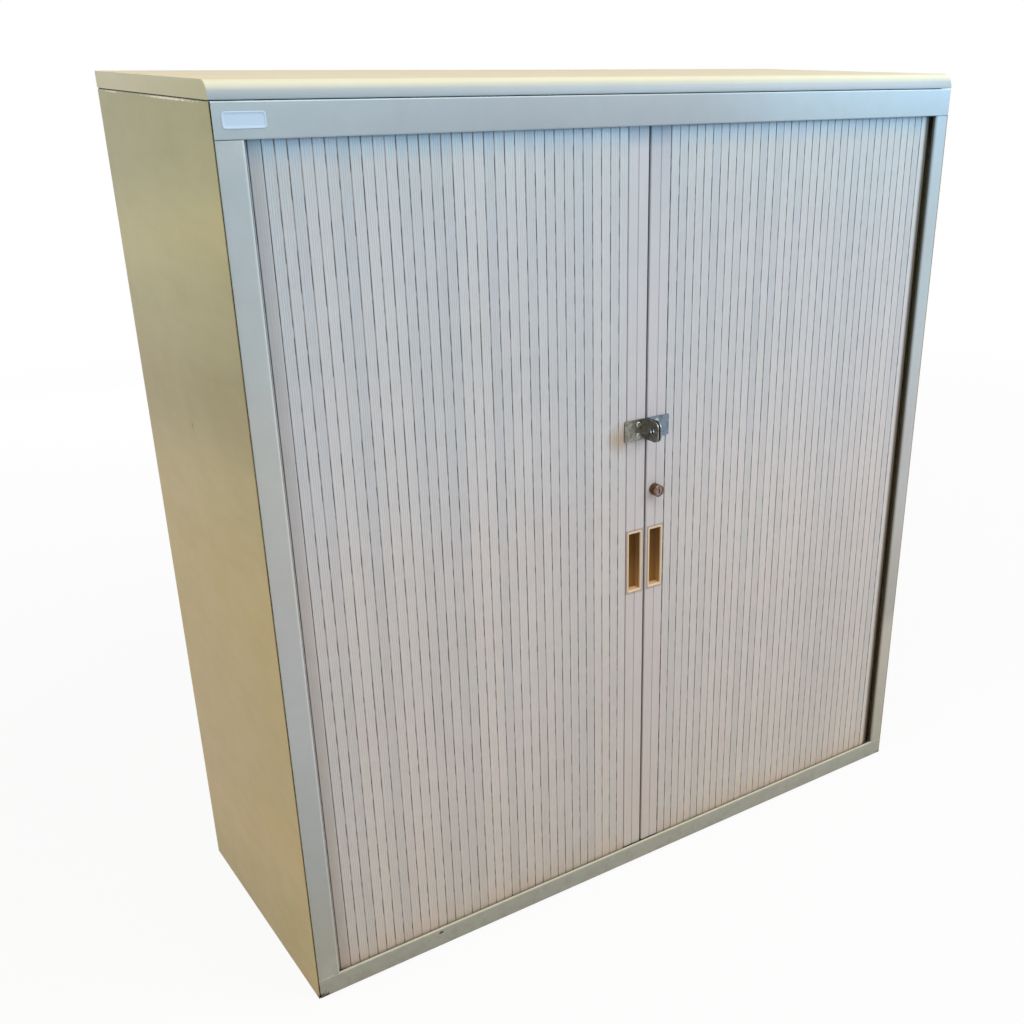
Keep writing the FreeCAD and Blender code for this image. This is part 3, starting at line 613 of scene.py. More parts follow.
def shadePosts():
    # The lead posts' tops lie in the header's cooler painted shadow, the right one darker still, and round the
    # cups the posts are darker with dirt and painted shade from the rims
    p = postTints
    tree, _, base = colourOf(paints["postPaint"])
    _, x, _, z = objectPlace(tree)
    for span, tint in p["shadows"]:
        base = tinted(tree, rampOf(tree, z, *span), base, tint)
    # Painted header shadow, darker on the right post's top
    rightTop = product(tree, rampOf(tree, x, *p["rightSpan"]), rampOf(tree, z, *p["rightHeight"]))
    base = tinted(tree, rightTop, base, p["right"])
    # Darker round the cups: dirt and painted shade from the rims
    across = mathOf(tree, "SUBTRACT", mathOf(tree, "ABSOLUTE", x), cupMiddle[0])
    rise = mathOf(tree, "SUBTRACT", z, cupMiddle[2])
    past, above = (mathOf(tree, "SUBTRACT", mathOf(tree, "ABSOLUTE", offset), half)
                   for offset, half in ((across, cupHalf[0]), (rise, cupHalf[2])))
    near = opposite(tree, rampOf(tree, mathOf(tree, "MAXIMUM", past, above), *p["dirtAndShadeSpan"]))
    recolour(paints["postPaint"], tinted(tree, product(tree, near, p["dirtAndShadeShare"]), base, p["dirtAndShade"]))


slatTints = dict(
    plainest=(0.93, 0.94, 0.955), pinkest=(1.04, 1.02, 1.01), headerShadowSpan=(1.176, 1.206),
    headerShadow=(0.70, 0.92, 1.09), headerEdgeShadowSpan=(1.2045, 1.2078), edge=(0.62, 0.66, 0.72), ledgeGlowSpan=(0.036, 0.085),
    ledge=(1.0, 0.93, 0.85), bracketShadowPlace=(-0.050, curtainY, 0.774), bracketShadowSpan=(0.004, 0.026),
    smearAndShadow=(0.78, 0.62, 0.46), breakStretch=(310.0, 1.0, 46.0), breaks=(1.0, 2.0, 0.5), breakSpan=(0.43, 0.58),
    dust=(0.54, 0.52, 0.53), dirtAndShade=(0.205, 0.190, 0.195), turnedShadeSpan=(0.40, 0.66), turned=(1.04, 0.92, 0.74))


def tintSlats():
    # Ribbed plastic: each slat a touch lighter, darker or pinker, with painted light and shade over it, and dust
    # and a dark fill broken along each groove, the dark fill both dirt and painted shade
    s = slatTints
    tree, _, colour = colourOf(paints["slatPlastic"])
    tone, groove, shade = (node(tree, "ShaderNodeAttribute", attribute_name=label).outputs["Fac"]
                           for label in ("slatTone", "slatGroove", "slatShade"))
    colour = timesColour(tree, colour, blendColour(tree, tone, s["plainest"], s["pinkest"]))
    # The shade attribute is painted shade on the turned corner slats and a painted highlight on the right
    # shoulder
    colour = timesColour(tree, colour, shade)
    place, _, _, z = objectPlace(tree)
    # Painted shadow and cool light under the header, a painted shadow line at its lower edge, a painted warm glow
    # along the ledge and a painted warm shadow beside the left bracket
    away = node(tree, "ShaderNodeVectorMath", {0: place}, operation="DISTANCE")
    away.inputs[1].default_value = s["bracketShadowPlace"]
    masks = dict(headerShadow=rampOf(tree, z, *s["headerShadowSpan"]), edge=rampOf(tree, z, *s["headerEdgeShadowSpan"]),
                 ledge=opposite(tree, rampOf(tree, z, *s["ledgeGlowSpan"])),
                 smearAndShadow=opposite(tree, rampOf(tree, away.outputs["Value"], *s["bracketShadowSpan"])))
    for label, mask in masks.items():
        colour = tinted(tree, mask, colour, s[label])
    # Dust and a dark fill broken along each groove; the dark fill is dirt and painted shade together
    broken = noiseOf(tree, stretched(tree, place, s["breakStretch"]), *s["breaks"])
    broken = rampOf(tree, broken, *s["breakSpan"])
    filling = timesColour(tree, blendColour(tree, broken, s["dust"], s["dirtAndShade"]), shade)
    colour = blendColour(tree, groove, colour, filling)
    # A brown cast in the turned slats' painted shade
    turned = opposite(tree, rampOf(tree, shade, *s["turnedShadeSpan"]))
    recolour(paints["slatPlastic"], tinted(tree, turned, colour, s["turned"]))


cupTints = dict(
    depthSpan=(-0.4 * mm, 2.2 * mm), lowSpan=(0.520, 0.580), inside=(0.150, 0.064, 0.011),
    insideLow=(0.265, 0.120, 0.024), wallSpan=(0.3, 0.9), wall=(1.9, 2.3, 4.2), floorSpan=(0.5, 0.95),
    floor=(0.66, 0.44, 0.24))


def tintCups():
    # Tan plastic, with painted shade that darkens it the deeper it goes, lighter low down, painted light on the
    # inner wall that faces left, and light from below on its floor
    c = cupTints
    tree, _, rim = colourOf(paints["cupPlastic"])
    _, _, y, z = objectPlace(tree)
    towardsX, _, towardsZ = facing(tree)
    deep = rampOf(tree, y, *(curtainY + depth for depth in c["depthSpan"]))
    inner = blendColour(tree, opposite(tree, rampOf(tree, z, *c["lowSpan"])), c["inside"], c["insideLow"])
    inner = tinted(tree, rampOf(tree, product(tree, towardsX, -1.0), *c["wallSpan"]), inner, c["wall"])
    inner = blendColour(tree, rampOf(tree, towardsZ, *c["floorSpan"]), inner, c["floor"])
    recolour(paints["cupPlastic"], blendColour(tree, deep, rim, inner))


for tintPiece in (tintCap, bandPanels, darkenSeam, shadeFront, shadePosts, tintSlats, tintCups):
    tintPiece()


def plated(name, colour, dull, roughness, spangle=260.0):
    return shaderFor(name, platedMetal, {"Colour": colour, "Dull": dull, "Roughness": roughness,
                                         "Spangle": spangle}, Metallic=1.0)


def moulded(name, colour, roughness, clouding=0.1):
    return paint(name, colour, clouding=clouding, roughness=roughness, peel=0.04, grime=0.1, wear=0.1)


# Near-black rubber for the seam strips and the meeting seal, standing in for the shade in those gaps
shadeRubber = moulded("shadeRubber", (0.018, 0.018, 0.02), 0.6)
labelPlastic = moulded("labelPlastic", (0.56, 0.73, 0.94), 0.3, 0.05)
bySlot = {
    "front_paint": paints["frontPaint"], "side_paint": paints["sidePaint"], "cap_paint": paints["capPaint"],
    "inner_paint": paints["innerPaint"], "post_paint": paints["postPaint"], "slat_plastic": paints["slatPlastic"],
    "cup_plastic": paints["cupPlastic"], "track_plastic": moulded("trackPlastic", (0.06, 0.057, 0.05), 0.5),
    "foot_plastic": moulded("footPlastic", (0.02, 0.02, 0.02), 0.45),
    "zinc": plated("zincPlate", (0.46, 0.47, 0.43), (0.16, 0.16, 0.12), 0.26),
    "lock_metal": plated("lockBrass", (0.245, 0.160, 0.100), (0.035, 0.020, 0.013), 0.20, 500.0)}
ownFinish = {
    "ceiling_panel": paints["ceilingPaint"],
    "left_padlock_bracket": plated("oldZinc", (0.31, 0.305, 0.270), (0.045, 0.038, 0.025), 0.20, 190.0),
    "right_padlock_bracket": plated("blueZinc", (0.215, 0.270, 0.335), (0.075, 0.100, 0.130), 0.28, 210.0),
    "lock_plug": plated("lockFace", (0.33, 0.27, 0.29), (0.012, 0.008, 0.008), 0.12, 620.0)}
print("materials ready:", len(bySlot) + len(ownFinish) + 2)


def placeOf(nodeName):
    # Body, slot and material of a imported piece, which the new shape takes the place of
    return dict(body=bodyOf[nodeName], slotName=slotOf[nodeName], material=bySlot[slotOf[nodeName]],
                hides=(nodeName,))


cap = dict(setback=16.5 * mm, edge=0.8 * mm, noseFrom=0.10, nosePoints=20, backFlat=10, backBend=2,
           chamfer=0.3, stations=25, dip=0.5 * mm, dipPlace=0.12, dipReach=0.22, dipSkin=0.2 * mm, dipRise=0.05)


def capProfile():
    # Outline of the cap seen from its end: a front that rounds over as a quarter of an ellipse, flat top,
    # square back
    c = cap
    z0, z1 = capLow[2], capHigh[2]
    lip = c["edge"]
    a = np.linspace(c["noseFrom"], math.pi / 2, c["nosePoints"])
    nose = np.stack([frontY + c["setback"] * (1 - np.cos(a)), z0 + (z1 - z0) * np.sin(a)], axis=1)
    corners = [[capHigh[1] - c["backFlat"] * lip, z1], [capHigh[1], z1], [capHigh[1], z0]]
    back = roundedLine(corners, c["backBend"] * lip, 5)[1:]
    cut = c["chamfer"] * lip
    front = np.array([[frontY + lip, z0], [frontY + cut, z0 + cut], [frontY, z0 + lip]])
    return np.concatenate([front, nose, back])


def insetLoop(loop, distance):
    # The closed loop moved inwards by a distance at each point
    before, after = np.roll(loop, 1, axis=0), np.roll(loop, -1, axis=0)
    a, b = loop - before, after - loop
    a /= np.linalg.norm(a, axis=1, keepdims=True)
    b /= np.linalg.norm(b, axis=1, keepdims=True)
    na, nb = np.stack([-a[:, 1], a[:, 0]], 1), np.stack([-b[:, 1], b[:, 0]], 1)
    total = na + nb
    return loop - total / np.maximum((total ** 2).sum(1, keepdims=True), 1e-9) * 2 * distance


def buildCap():
    # The outline carried across, drawn in at both ends so that the end edges are rounded; the top dips a hair
    c = cap
    loop = capProfile()
    r = c["edge"]
    turn = np.linspace(0, math.pi / 2, 5)
    ends = np.stack([r * (1 - np.sin(turn)), r * (1 - np.cos(turn))], axis=1)
    half = capHigh[0]
    between = np.linspace(half - r, r - half, c["stations"])[1:-1]
    xs = np.concatenate([half - ends[::-1, 0], between, ends[:, 0] - half])
    insets = np.concatenate([ends[::-1, 1], np.zeros(len(between)), ends[:, 1]])
    points = np.zeros((len(xs), len(loop), 3))
    for row, (x, inset) in enumerate(zip(xs, insets)):
        ring = insetLoop(loop, inset)
        height = np.where(loop[:, 1] < capLow[2] + 2 * r, loop[:, 1], ring[:, 1])
        points[row] = np.column_stack([np.full(len(loop), x), ring[:, 0], height])
    topDip = c["dip"] * np.exp(-((points[..., 0] - c["dipPlace"]) / c["dipReach"]) ** 2)
    onTop = points[..., 2] > capHigh[2] - c["dipSkin"]
    points[..., 2] -= topDip * onTop * np.clip((points[..., 1] - frontY) / c["dipRise"], 0, 1)
    putPiece("capShell", points, loftFaces(len(xs), len(loop)), sharp=50.0, **placeOf("top_cap"))


carcass = dict(  # the seams are the gaps between the front's ends and the side panels
    sheet=1.0 * mm, sideSeam=1.05 * mm, rightSeam=0.45 * mm, bend=1.4 * mm, innerBend=4.4 * mm,
    headerReturn=19.0 * mm, railReturn=14.0 * mm, flange=24.0 * mm, hem=6.0 * mm, ledge=3.4 * mm,
    headerDrop=0.2 * mm, stileOuter=6.0 * mm, stileInner=7.0 * mm, frontStations=41, stileStations=25)
panel = dict(back=0.8 * mm, turnIn=13.0 * mm, bend=1.5 * mm, drop=0.4 * mm, topBend=0.8 * mm,
             topTurn=0.46 * math.pi, stations=33, bow=0.5 * mm)
shadeStrip = dict(outer=0.1 * mm, inner=0.6 * mm, back=1.3 * mm, depth=3.0 * mm, low=1.0 * mm, high=1.3 * mm)


def buildSidePanel(side, sign):
    # A skin with its rear edge turned in, its top edge rounded over and its middle bowed in very slightly
    t, bend = carcass["sheet"], panel["topBend"]
    x = panelHigh[0] - t / 2
    line = np.array([[x, panelLow[1] + panel["back"]], [x, panelHigh[1] - t / 2],
                     [x - panel["turnIn"], panelHigh[1] - t / 2]])
    line[:, 0] *= sign
    turn = np.linspace(0, panel["topTurn"], 6)[1:]
    top = panelHigh[2] - panel["drop"]
    stations = np.concatenate([np.linspace(panelLow[2], top - bend, panel["stations"]),
                               top - bend * (1 - np.sin(turn))])
    points = sheetPoints(line, panel["bend"], t, stations, 2)
    z = (points[..., 2] - panelLow[2]) / (panelHigh[2] - panelLow[2])
    y = (points[..., 1] - panelLow[1]) / (panelHigh[1] - panelLow[1])
    depth = panel["bow"] * np.sin(math.pi * z) * np.sin(math.pi * np.clip(y, 0, 1))
    above = np.clip(points[..., 2] - top + bend, 0, bend)
    depth += bend - np.sqrt(bend ** 2 - above ** 2)
    points[..., 0] -= sign * depth
    putPiece(side + "PanelSkin", points, sheetFaces(points, flip=sign > 0), sharp=50.0,
             **placeOf(side + "_side_panel"))


def buildAcross(name, line, halfWidth, nodeName):
    # A folded sheet across the front, from one side seam to the other
    c = carcass
    stations = np.linspace(c["sideSeam"] - halfWidth, halfWidth - c["rightSeam"], c["frontStations"])
    points = sheetPoints(line, c["bend"], c["sheet"], stations, 0)
    putPiece(name, points, sheetFaces(points), **placeOf(nodeName))


def buildHeader():
    c = carcass
    t = c["sheet"]
    y, z0, z1 = frontY + t / 2, headerLow[2] + t / 2, headerHigh[2] - t / 2 - c["headerDrop"]
    line = [[frontY + c["headerReturn"], z1], [y, z1], [y, z0], [y + c["hem"], z0]]
    buildAcross("headerFace", line, headerHigh[0], "header_rail")


def buildRail():
    c = carcass
    t = c["sheet"]
    y, z0, z1 = frontY + t / 2, railLow[2] + t / 2, railHigh[2] - t / 2
    line = [[y + c["ledge"], z1], [y, z1], [y, z0], [frontY + c["railReturn"], z0]]
    buildAcross("railFace", line, railHigh[0], "bottom_rail")


def buildStile(side, sign):
    # A tight bend into the flange at its outer edge and a softer one into the hem at its inner edge
    c = carcass
    t = c["sheet"]
    stileLow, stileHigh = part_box(side + "_stile")
    reach = sorted([abs(stileLow[0]), abs(stileHigh[0])])
    seam = c["sideSeam"] if sign < 0 else c["rightSeam"]
    outer, inner, y = reach[1] - seam - t / 2, reach[0] + t / 2, frontY + t / 2
    flange = [[outer, frontY + c["flange"]], [outer, y], [outer - c["stileOuter"], y]]
    lip = [[outer - c["stileInner"], y], [inner, y], [inner, y + c["hem"]]]
    line = np.concatenate([roundedLine(flange, c["bend"])[:-1], roundedLine(lip, c["innerBend"], 8)])
    line[:, 0] *= sign
    points = carriedUp(thickened(line, t), np.linspace(stileLow[2], stileHigh[2], c["stileStations"]))
    putPiece(side + "StileFace", points, sheetFaces(points, flip=sign < 0), sharp=50.0,
             **placeOf(side + "_stile"))


def buildSeamShadeStrips():
    # A near-black strip upright behind the open seam at each side, standing in for the seam's shade
    skin = panelHigh[0] - carcass["sheet"]
    outer, inner = skin - shadeStrip["outer"], skin - carcass["sideSeam"] - shadeStrip["inner"]
    y0, y1 = frontY + shadeStrip["back"], frontY + shadeStrip["back"] + shadeStrip["depth"]
    heights = np.array([panelLow[2] + shadeStrip["low"], headerHigh[2] - shadeStrip["high"]])
    for side, sign in (("Left", -1), ("Right", 1)):
        loop = np.array([[outer, y0], [outer, y1], [inner, y1], [inner, y0]]) * [sign, 1]
        putPiece("seamShadeStrip" + side, carriedUp(loop, heights), loftFaces(2, 4, flip=sign < 0), sharp=30.0,
                 body="carcass", slotName="track_plastic", material=shadeRubber)


buildCap()
buildSeamShadeStrips()
buildHeader()
buildRail()
for side, sign in (("left", -1), ("right", 1)):
    buildSidePanel(side, sign)
    buildStile(side, sign)
print("carcass built")


slats = dict(
    pitch=14.93 * mm, groove=1.35 * mm, thickness=5.8 * mm, edge=0.8 * mm, ribs=4, ribPoints=6,
    ribDepth=0.38 * mm, tongueFrom=1.2 * mm, tongueThick=1.2 * mm, tongueGap=0.1 * mm, valleyFill=0.13,
    edgeFill=(0.8, 0.1, 0, 0), bow=0.25 * mm, levels=9, start=36.75 * mm, packedPitch=15.0 * mm, straight=34,
    closeGap=0.05 * mm, closeKeep=0.003, anchorHeight=0.6, shoulder=2.0 * mm, rightEdge=1.05)
corners = dict(  # the shade of each turned slat; how long the first stays bright and how it falls away
    trackHalf=5.0 * mm, wider=1.095, ribs=0.3, leftShade=(0.84, 0.74, 0.25, 0.03), leftHold=0, leftFall=2,
    rightShade=(1.0, 0.24, 0.05, 0.01), rightHold=0.50, rightFall=1.1)
dice = np.random.default_rng(27)


def slatLoop(tongue, ribDepth):
    # One slat seen from above: round shoulders, a face of shallow reeds and a tongue towards the next. The
    # second array tells how much of the groove's dust and dark fill, dirt and painted shade, each point takes:
    # full on the tongue and the back, little on the face
    s = slats
    half = (s["pitch"] - s["groove"]) / 2
    r = s["edge"]
    turn = np.linspace(0, math.pi / 2, 4)
    leftEdge = np.stack([-half + r - r * np.cos(turn), r - r * np.sin(turn)], axis=1)
    u = np.linspace(-half + r, half - r, s["ribs"] * s["ribPoints"] + 1)[1:-1]
    phase = (u + half - r) / (2 * (half - r)) * s["ribs"] * math.pi
    face = np.stack([u, ribDepth * (1 - np.abs(np.sin(phase)))], axis=1)
    rightEdge = leftEdge[::-1] * [-1, 1]
    t0, t1, reach = s["tongueFrom"], s["tongueFrom"] + s["tongueThick"], s["groove"] - s["tongueGap"]
    step = [[half, t0], [half + reach, t0], [half + reach, t1], [half, t1]] if tongue else []
    back = [[half, s["thickness"]], [-half, s["thickness"]]]
    parts = [leftEdge, face, rightEdge] + [np.array(p) for p in (step, back) if len(p)]
    valley = s["valleyFill"] * (1 - np.abs(np.sin(phase))) ** 2
    low = [np.array(s["edgeFill"]), valley, np.array(s["edgeFill"][::-1])]
    low += [np.ones(len(p)) for p in (step, back) if len(p)]
    return np.concatenate(parts), np.concatenate(low)


def slatSolid(loop, centre, turn, stations, sign, bend=0.0):
    # The loop turned about the origin, moved to its centre and carried up, its middle bowed by a hair
    spin = np.array([[math.cos(turn), math.sin(turn)], [-math.sin(turn), math.cos(turn)]])
    flat = loop @ spin + centre
    points = np.zeros((len(stations), len(loop), 3))
    points[..., 0] = flat[None, :, 0] * sign
    sway = np.sin((stations - stations[0]) / (stations[-1] - stations[0]) * math.pi)[:, None]
    points[..., 1] = flat[None, :, 1] + bend * sway
    points[..., 2] = stations[:, None]
    return points


def putSlats(name, solids, sign, stations, nodeName):
    # Joins slats given as (loop, groove marks, centre, turn, tone, shade) into one piece
    everyPoint, everyFace, marks, base = [], [], {"slatTone": [], "slatGroove": [], "slatShade": []}, 0
    for loop, low, centre, turn, tone, shade in solids:
        bend = dice.uniform(0, slats["bow"]) if turn == 0 else 0.0
        points = slatSolid(loop, centre, turn, stations, sign, bend)
        rows, cols = points.shape[:2]
        everyFace += [[i + base for i in f] for f in loftFaces(rows, cols, flip=sign < 0)]
        everyPoint.append(points.reshape(-1, 3))
        marks["slatTone"].append(np.full(rows * cols, tone))
        marks["slatGroove"].append(np.tile(low, rows))
        marks["slatShade"].append(np.tile(np.broadcast_to(shade, cols), rows))
        base += rows * cols
    return putPiece(name, np.concatenate(everyPoint), everyFace, sharp=50.0,
                    marks={key: np.concatenate(value) for key, value in marks.items()}, **placeOf(nodeName))


def buildSlats():
    # Each packed group is rebuilt with its own number of slats
    s = slats
    low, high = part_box("right_slats_2")
    stations = np.linspace(low[2], high[2], s["levels"])
    plain, tongued, turned = (slatLoop(tongue, s["ribDepth"] * deep)
                              for tongue, deep in ((False, 1.0), (True, 1.0), (False, corners["ribs"])))
    for side, sign in (("left", -1), ("right", 1)):
        near, done = s["start"], 0
        groups = sorted(n for n in slotOf if n.startswith(side + "_slats_"))
        for name in groups:
            low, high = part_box(name)
            count = round((high[0] - low[0]) / s["packedPitch"])
            solids = []
            for k in range(count):
                done += 1
                loop, marks = plain if done == s["straight"] else tongued
                shade = 1.0
                if done == s["straight"] and sign > 0:  # its outer shoulder catches the light
                    shade = np.where(loop[:, 0] > s["pitch"] / 2 - s["shoulder"], s["rightEdge"], 1.0)
                centre = [near + (k + 0.5) * s["pitch"], curtainY]
                solids.append((loop, marks, centre, 0, dice.uniform(0, 1), shade))
            piece = putSlats("slats" + side.capitalize() + name[-1], solids, sign, stations, name)
            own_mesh(piece)
            near += count * s["pitch"]
        buildCorner(side, sign, turned, stations, near)


def buildCorner(side, sign, slat, stations, arcStart):
    # The turned slats stand on an arc that starts where the straight run ends; painted shade darkens them the
    # further they turn, and they take the pinkest tone
    c, pitch = corners, slats["pitch"]
    loop, marks = slat
    trackLow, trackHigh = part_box("right_lower_track")
    radius = trackHigh[0] - c["trackHalf"] - arcStart
    frontLine = trackLow[1] + c["trackHalf"]
    centre = np.array([arcStart, frontLine + radius])
    solids = []
    shades, hold, fall = (c[side + label] for label in ("Shade", "Hold", "Fall"))
    loop = loop * [c["wider"], 1]
    for k, shade in enumerate(shades):
        turn = (k + 0.5) * pitch / radius
        after = shades[min(k + 1, len(shades) - 1)]
        ahead = np.clip(0.5 - loop[:, 0] / pitch, 0, 1)
        ahead = np.clip(ahead / (1 - hold), 0, 1)
        fade = after + (shade - after) * ahead ** fall
        solids.append((loop + [0, -radius - (frontLine - curtainY)], marks, centre, turn, 1.0, fade))
    putSlats("cornerSlats" + side.capitalize(), solids, sign, stations, side + "_corner_slats")


posts = dict(
    width=36.0 * mm, outerGap=0.8 * mm, meeting=1.1 * mm, edge=1.6 * mm, groove=1.8 * mm,
    grooveDepth=1.7 * mm, thickness=16.0 * mm, fingerRim=2.4 * mm, recess=12.9 * mm, ribs=10, ribPoints=8,
    ribDepth=0.22 * mm, low=0.4 * mm, high=2.0 * mm, levels=(12, 6, 14), joined=1e-6, noArea=1e-7, sharp=40.0)
seal = dict(half=1.0 * mm, front=2.2 * mm, back=2.0 * mm, low=2.0 * mm, high=0.5 * mm, levels=20)


def buildPost(side, sign):
    # The front as a height field over width and height, with a recess for the cup; the rest is a plain box
    p = posts
    x0 = abs(postLow[0]) + p["meeting"]
    x1 = abs(postLow[0]) + p["width"] - p["outerGap"]
    cupX, cupZ = cupMiddle[0], cupMiddle[2]
    fingerHalf, fingerRise = (cupHalf[axis] - p["fingerRim"] for axis in (0, 2))
    low, high = railHigh[2] + p["low"], headerLow[2] + p["high"]
    middle = (x0 + x1 + p["outerGap"]) / 2
    turn = np.linspace(0, math.pi / 2, 5)
    r = p["edge"]
    edgeX, edgeD = r - r * np.cos(turn), r - r * np.sin(turn)
    ribX = np.linspace(x0 + r, x1 - r, p["ribs"] * p["ribPoints"] + 1)[1:-1]
    ribD = p["ribDepth"] * (1 - np.abs(np.sin((ribX - x0 - r) / (x1 - x0 - 2 * r) * p["ribs"] * math.pi)))
    ribD += p["grooveDepth"] * np.clip(1 - np.abs(ribX - middle) / (p["groove"] / 2), 0, 1)
    gate = np.array([cupX - fingerHalf, cupX + fingerHalf])
    xs = np.concatenate([x0 + edgeX, ribX, (x1 - edgeX)[::-1]])
    depth = np.concatenate([edgeD, ribD, edgeD[::-1]])
    xs, depth = insertGate(xs, depth, gate)
    below, beside, above = p["levels"]
    zs = np.concatenate([np.linspace(low, cupZ - fingerRise, below),
                         np.linspace(cupZ - fingerRise, cupZ + fingerRise, beside),
                         np.linspace(cupZ + fingerRise, high, above)])
    inZ = np.zeros(len(zs), bool)
    inZ[below:below + beside] = True
    inX = insideGate(xs, gate)
    field = np.where(inZ[:, None] & inX[None, :], p["recess"], depth[None, :])
    front = np.stack([np.broadcast_to(xs * sign, field.shape), curtainY + field,
                      np.broadcast_to(zs[:, None], field.shape)], axis=-1)
    rows, cols = field.shape
    back = front.copy()
    back[..., 1] = curtainY + p["thickness"]
    points = np.concatenate([front.reshape(-1, 3), back.reshape(-1, 3)])
    grid = gridFaces(rows, cols)
    total = rows * cols
    rim = np.concatenate([np.arange(cols), np.arange(1, rows) * cols + cols - 1,
                          (rows - 1) * cols + np.arange(cols - 1)[::-1], np.arange(1, rows - 1)[::-1] * cols])
    after = np.roll(rim, -1)
    walls = np.stack([rim, rim + total, after + total, after], axis=1)
    faces = np.concatenate([grid, grid[:, ::-1] + total, walls])
    if sign < 0:
        faces = faces[:, ::-1]
    tidyMesh(putPiece(side + "PostFace", points, faces, sharp=p["sharp"], **placeOf(side + "_lead_post")))


def insertGate(xs, depth, gate):
    # Two columns at each gate edge, one for each side of the step
    for edge in gate:
        at = int(np.searchsorted(xs, edge))
        value = float(np.interp(edge, xs, depth))
        xs = np.insert(xs, at, [edge, edge])
        depth = np.insert(depth, at, [value, value])
    return xs, depth


def insideGate(xs, gate):
    # The columns from the inner one at the first gate edge to the inner one at the last
    first = int(np.searchsorted(xs, gate[0], side="left")) + 1
    last = int(np.searchsorted(xs, gate[1], side="right")) - 1
    inside = np.zeros(len(xs), bool)
    inside[first:last] = True
    return inside


def tidyMesh(piece):
    # Doubled points at the steps are joined, which removes the faces that have no area
    work = bmesh.new()
    work.from_mesh(piece.data)
    bmesh.ops.remove_doubles(work, verts=work.verts, dist=posts["joined"])
    bmesh.ops.dissolve_degenerate(work, edges=work.edges, dist=posts["noArea"])
    work.to_mesh(piece.data)
    work.free()
    piece.data.shade_smooth()
    piece.data.set_sharp_from_angle(angle=math.radians(posts["sharp"]))


def buildSeal():
    # A near-black rubber strip on the left post fills the gap at the meeting line and stands in for its shade
    h, y0, y1 = seal["half"], curtainY + seal["front"], curtainY + posts["thickness"] - seal["back"]
    root = -abs(postLow[0]) - posts["meeting"]
    loop = np.array([[root, y0 + h], [-h / 2, y0 + h / 3], [0, y0], [h / 2, y0 + h / 3], [h, y0 + h],
                     [h, y1], [root, y1]])
    heights = np.linspace(railHigh[2] + seal["low"], headerLow[2] - seal["high"], seal["levels"])
    putPiece("meetingSeal", carriedUp(loop, heights), loftFaces(len(heights), len(loop)), body="left_door",
             slotName="track_plastic", material=shadeRubber)


buildSlats()
for side, sign in (("left", -1), ("right", 1)):
    buildPost(side, sign)
buildSeal()
print("shutters built")


cups = dict(corner=2.6 * mm, rim=3.3 * mm, bead=0.6 * mm, draft=0.6 * mm, depth=11.0 * mm, bodyInset=2.7 * mm,
            bodyCorner=1.2 * mm, trayCorner=1.3 * mm)


def buildCup(side, sign):
    # Rings from the back of the tray's outside, over the rounded rim and down the inside to its floor
    c = cups
    front, back, body, rim, tray = cupLow[1], cupHigh[1], c["bodyInset"], c["rim"], c["rim"] + c["draft"]
    rings = [  # how far in from the rim's edge, corner radius, depth
        (body + 2.5 * mm, c["bodyCorner"], back), (body, c["bodyCorner"], back - 1.2 * mm),
        (body, c["bodyCorner"], curtainY + 0.2 * mm), (0.0, c["corner"], curtainY),
        (0.0, c["corner"], front + c["bead"]), (c["bead"] * 0.3, c["corner"], front + c["bead"] * 0.3),
        (c["bead"], c["corner"] - c["bead"] * 0.5, front), (rim - 1.6 * mm, 1.7 * mm, front),
        (rim - 0.7 * mm, 1.5 * mm, front + 0.35 * mm), (rim, c["trayCorner"], front + 1.2 * mm),
        (rim + c["draft"] * 0.4, c["trayCorner"], front + 5.0 * mm),
        (tray, c["trayCorner"], front + c["depth"] - 0.8 * mm),
        (tray + 0.8 * mm, 0.9 * mm, front + c["depth"])]
    points = stackedRings(rings, cupHalf[0], cupHalf[2], (cupMiddle[0], cupMiddle[2]), sign)
    putPiece(side + "CupShell", points, loftFaces(len(points), points.shape[1], flip=sign > 0), sharp=50.0,
             **placeOf(side + "_handle_cup"))


plate = dict(width=50.0 * mm, height=18.0 * mm, corner=4.0 * mm, proud=0.7 * mm, fromEnd=36.0 * mm,
             below=19.7 * mm, border=1.2 * mm, dish=0.25 * mm, edge=0.25 * mm)


def buildPlate():
    # A small plate on the header, left blank, with a raised border round a slightly sunk middle
    p = plate
    centre = (-headerHigh[0] + p["fromEnd"], headerHigh[2] - p["below"])
    face, corner, border = frontY - p["proud"], p["corner"], p["border"]
    rings = [(0, corner, frontY), (0, corner, face + p["edge"]), (p["edge"], corner - 0.2 * mm, face),
             (border, corner - 0.8 * mm, face), (border + 0.3 * mm, corner - 1.0 * mm, face + p["dish"]),
             (border + 3 * mm, corner - 2.0 * mm, face + p["dish"])]
    points = stackedRings(rings, p["width"] / 2, p["height"] / 2, centre)
    putPiece("blankPlate", points, loftFaces(len(points), points.shape[1], flip=True), body="carcass",
             slotName="slat_plastic", material=labelPlastic, sharp=45.0)


for side, sign in (("left", -1), ("right", 1)):
    buildCup(side, sign)
buildPlate()
print("cups and plate built")


def unworn(material):
    # The same finish without rubbed edges, for shapes with too few points to find their edges by
    plain = material.copy()
    for item in plain.node_tree.nodes:
        if item.type == "GROUP" and "Wear" in item.inputs:
            item.inputs["Wear"].default_value = 0.0
    return plain


plainFinish = {}
for nodeName, slotName in slotOf.items():
    piece = bpy.data.objects.get(nodeName)
    if piece is None:
        continue
    finish = ownFinish.get(nodeName, bySlot[slotName])
    if finish.name not in plainFinish:
        plainFinish[finish.name] = unworn(finish)
    piece.data.materials.clear()
    piece.data.materials.append(plainFinish[finish.name])


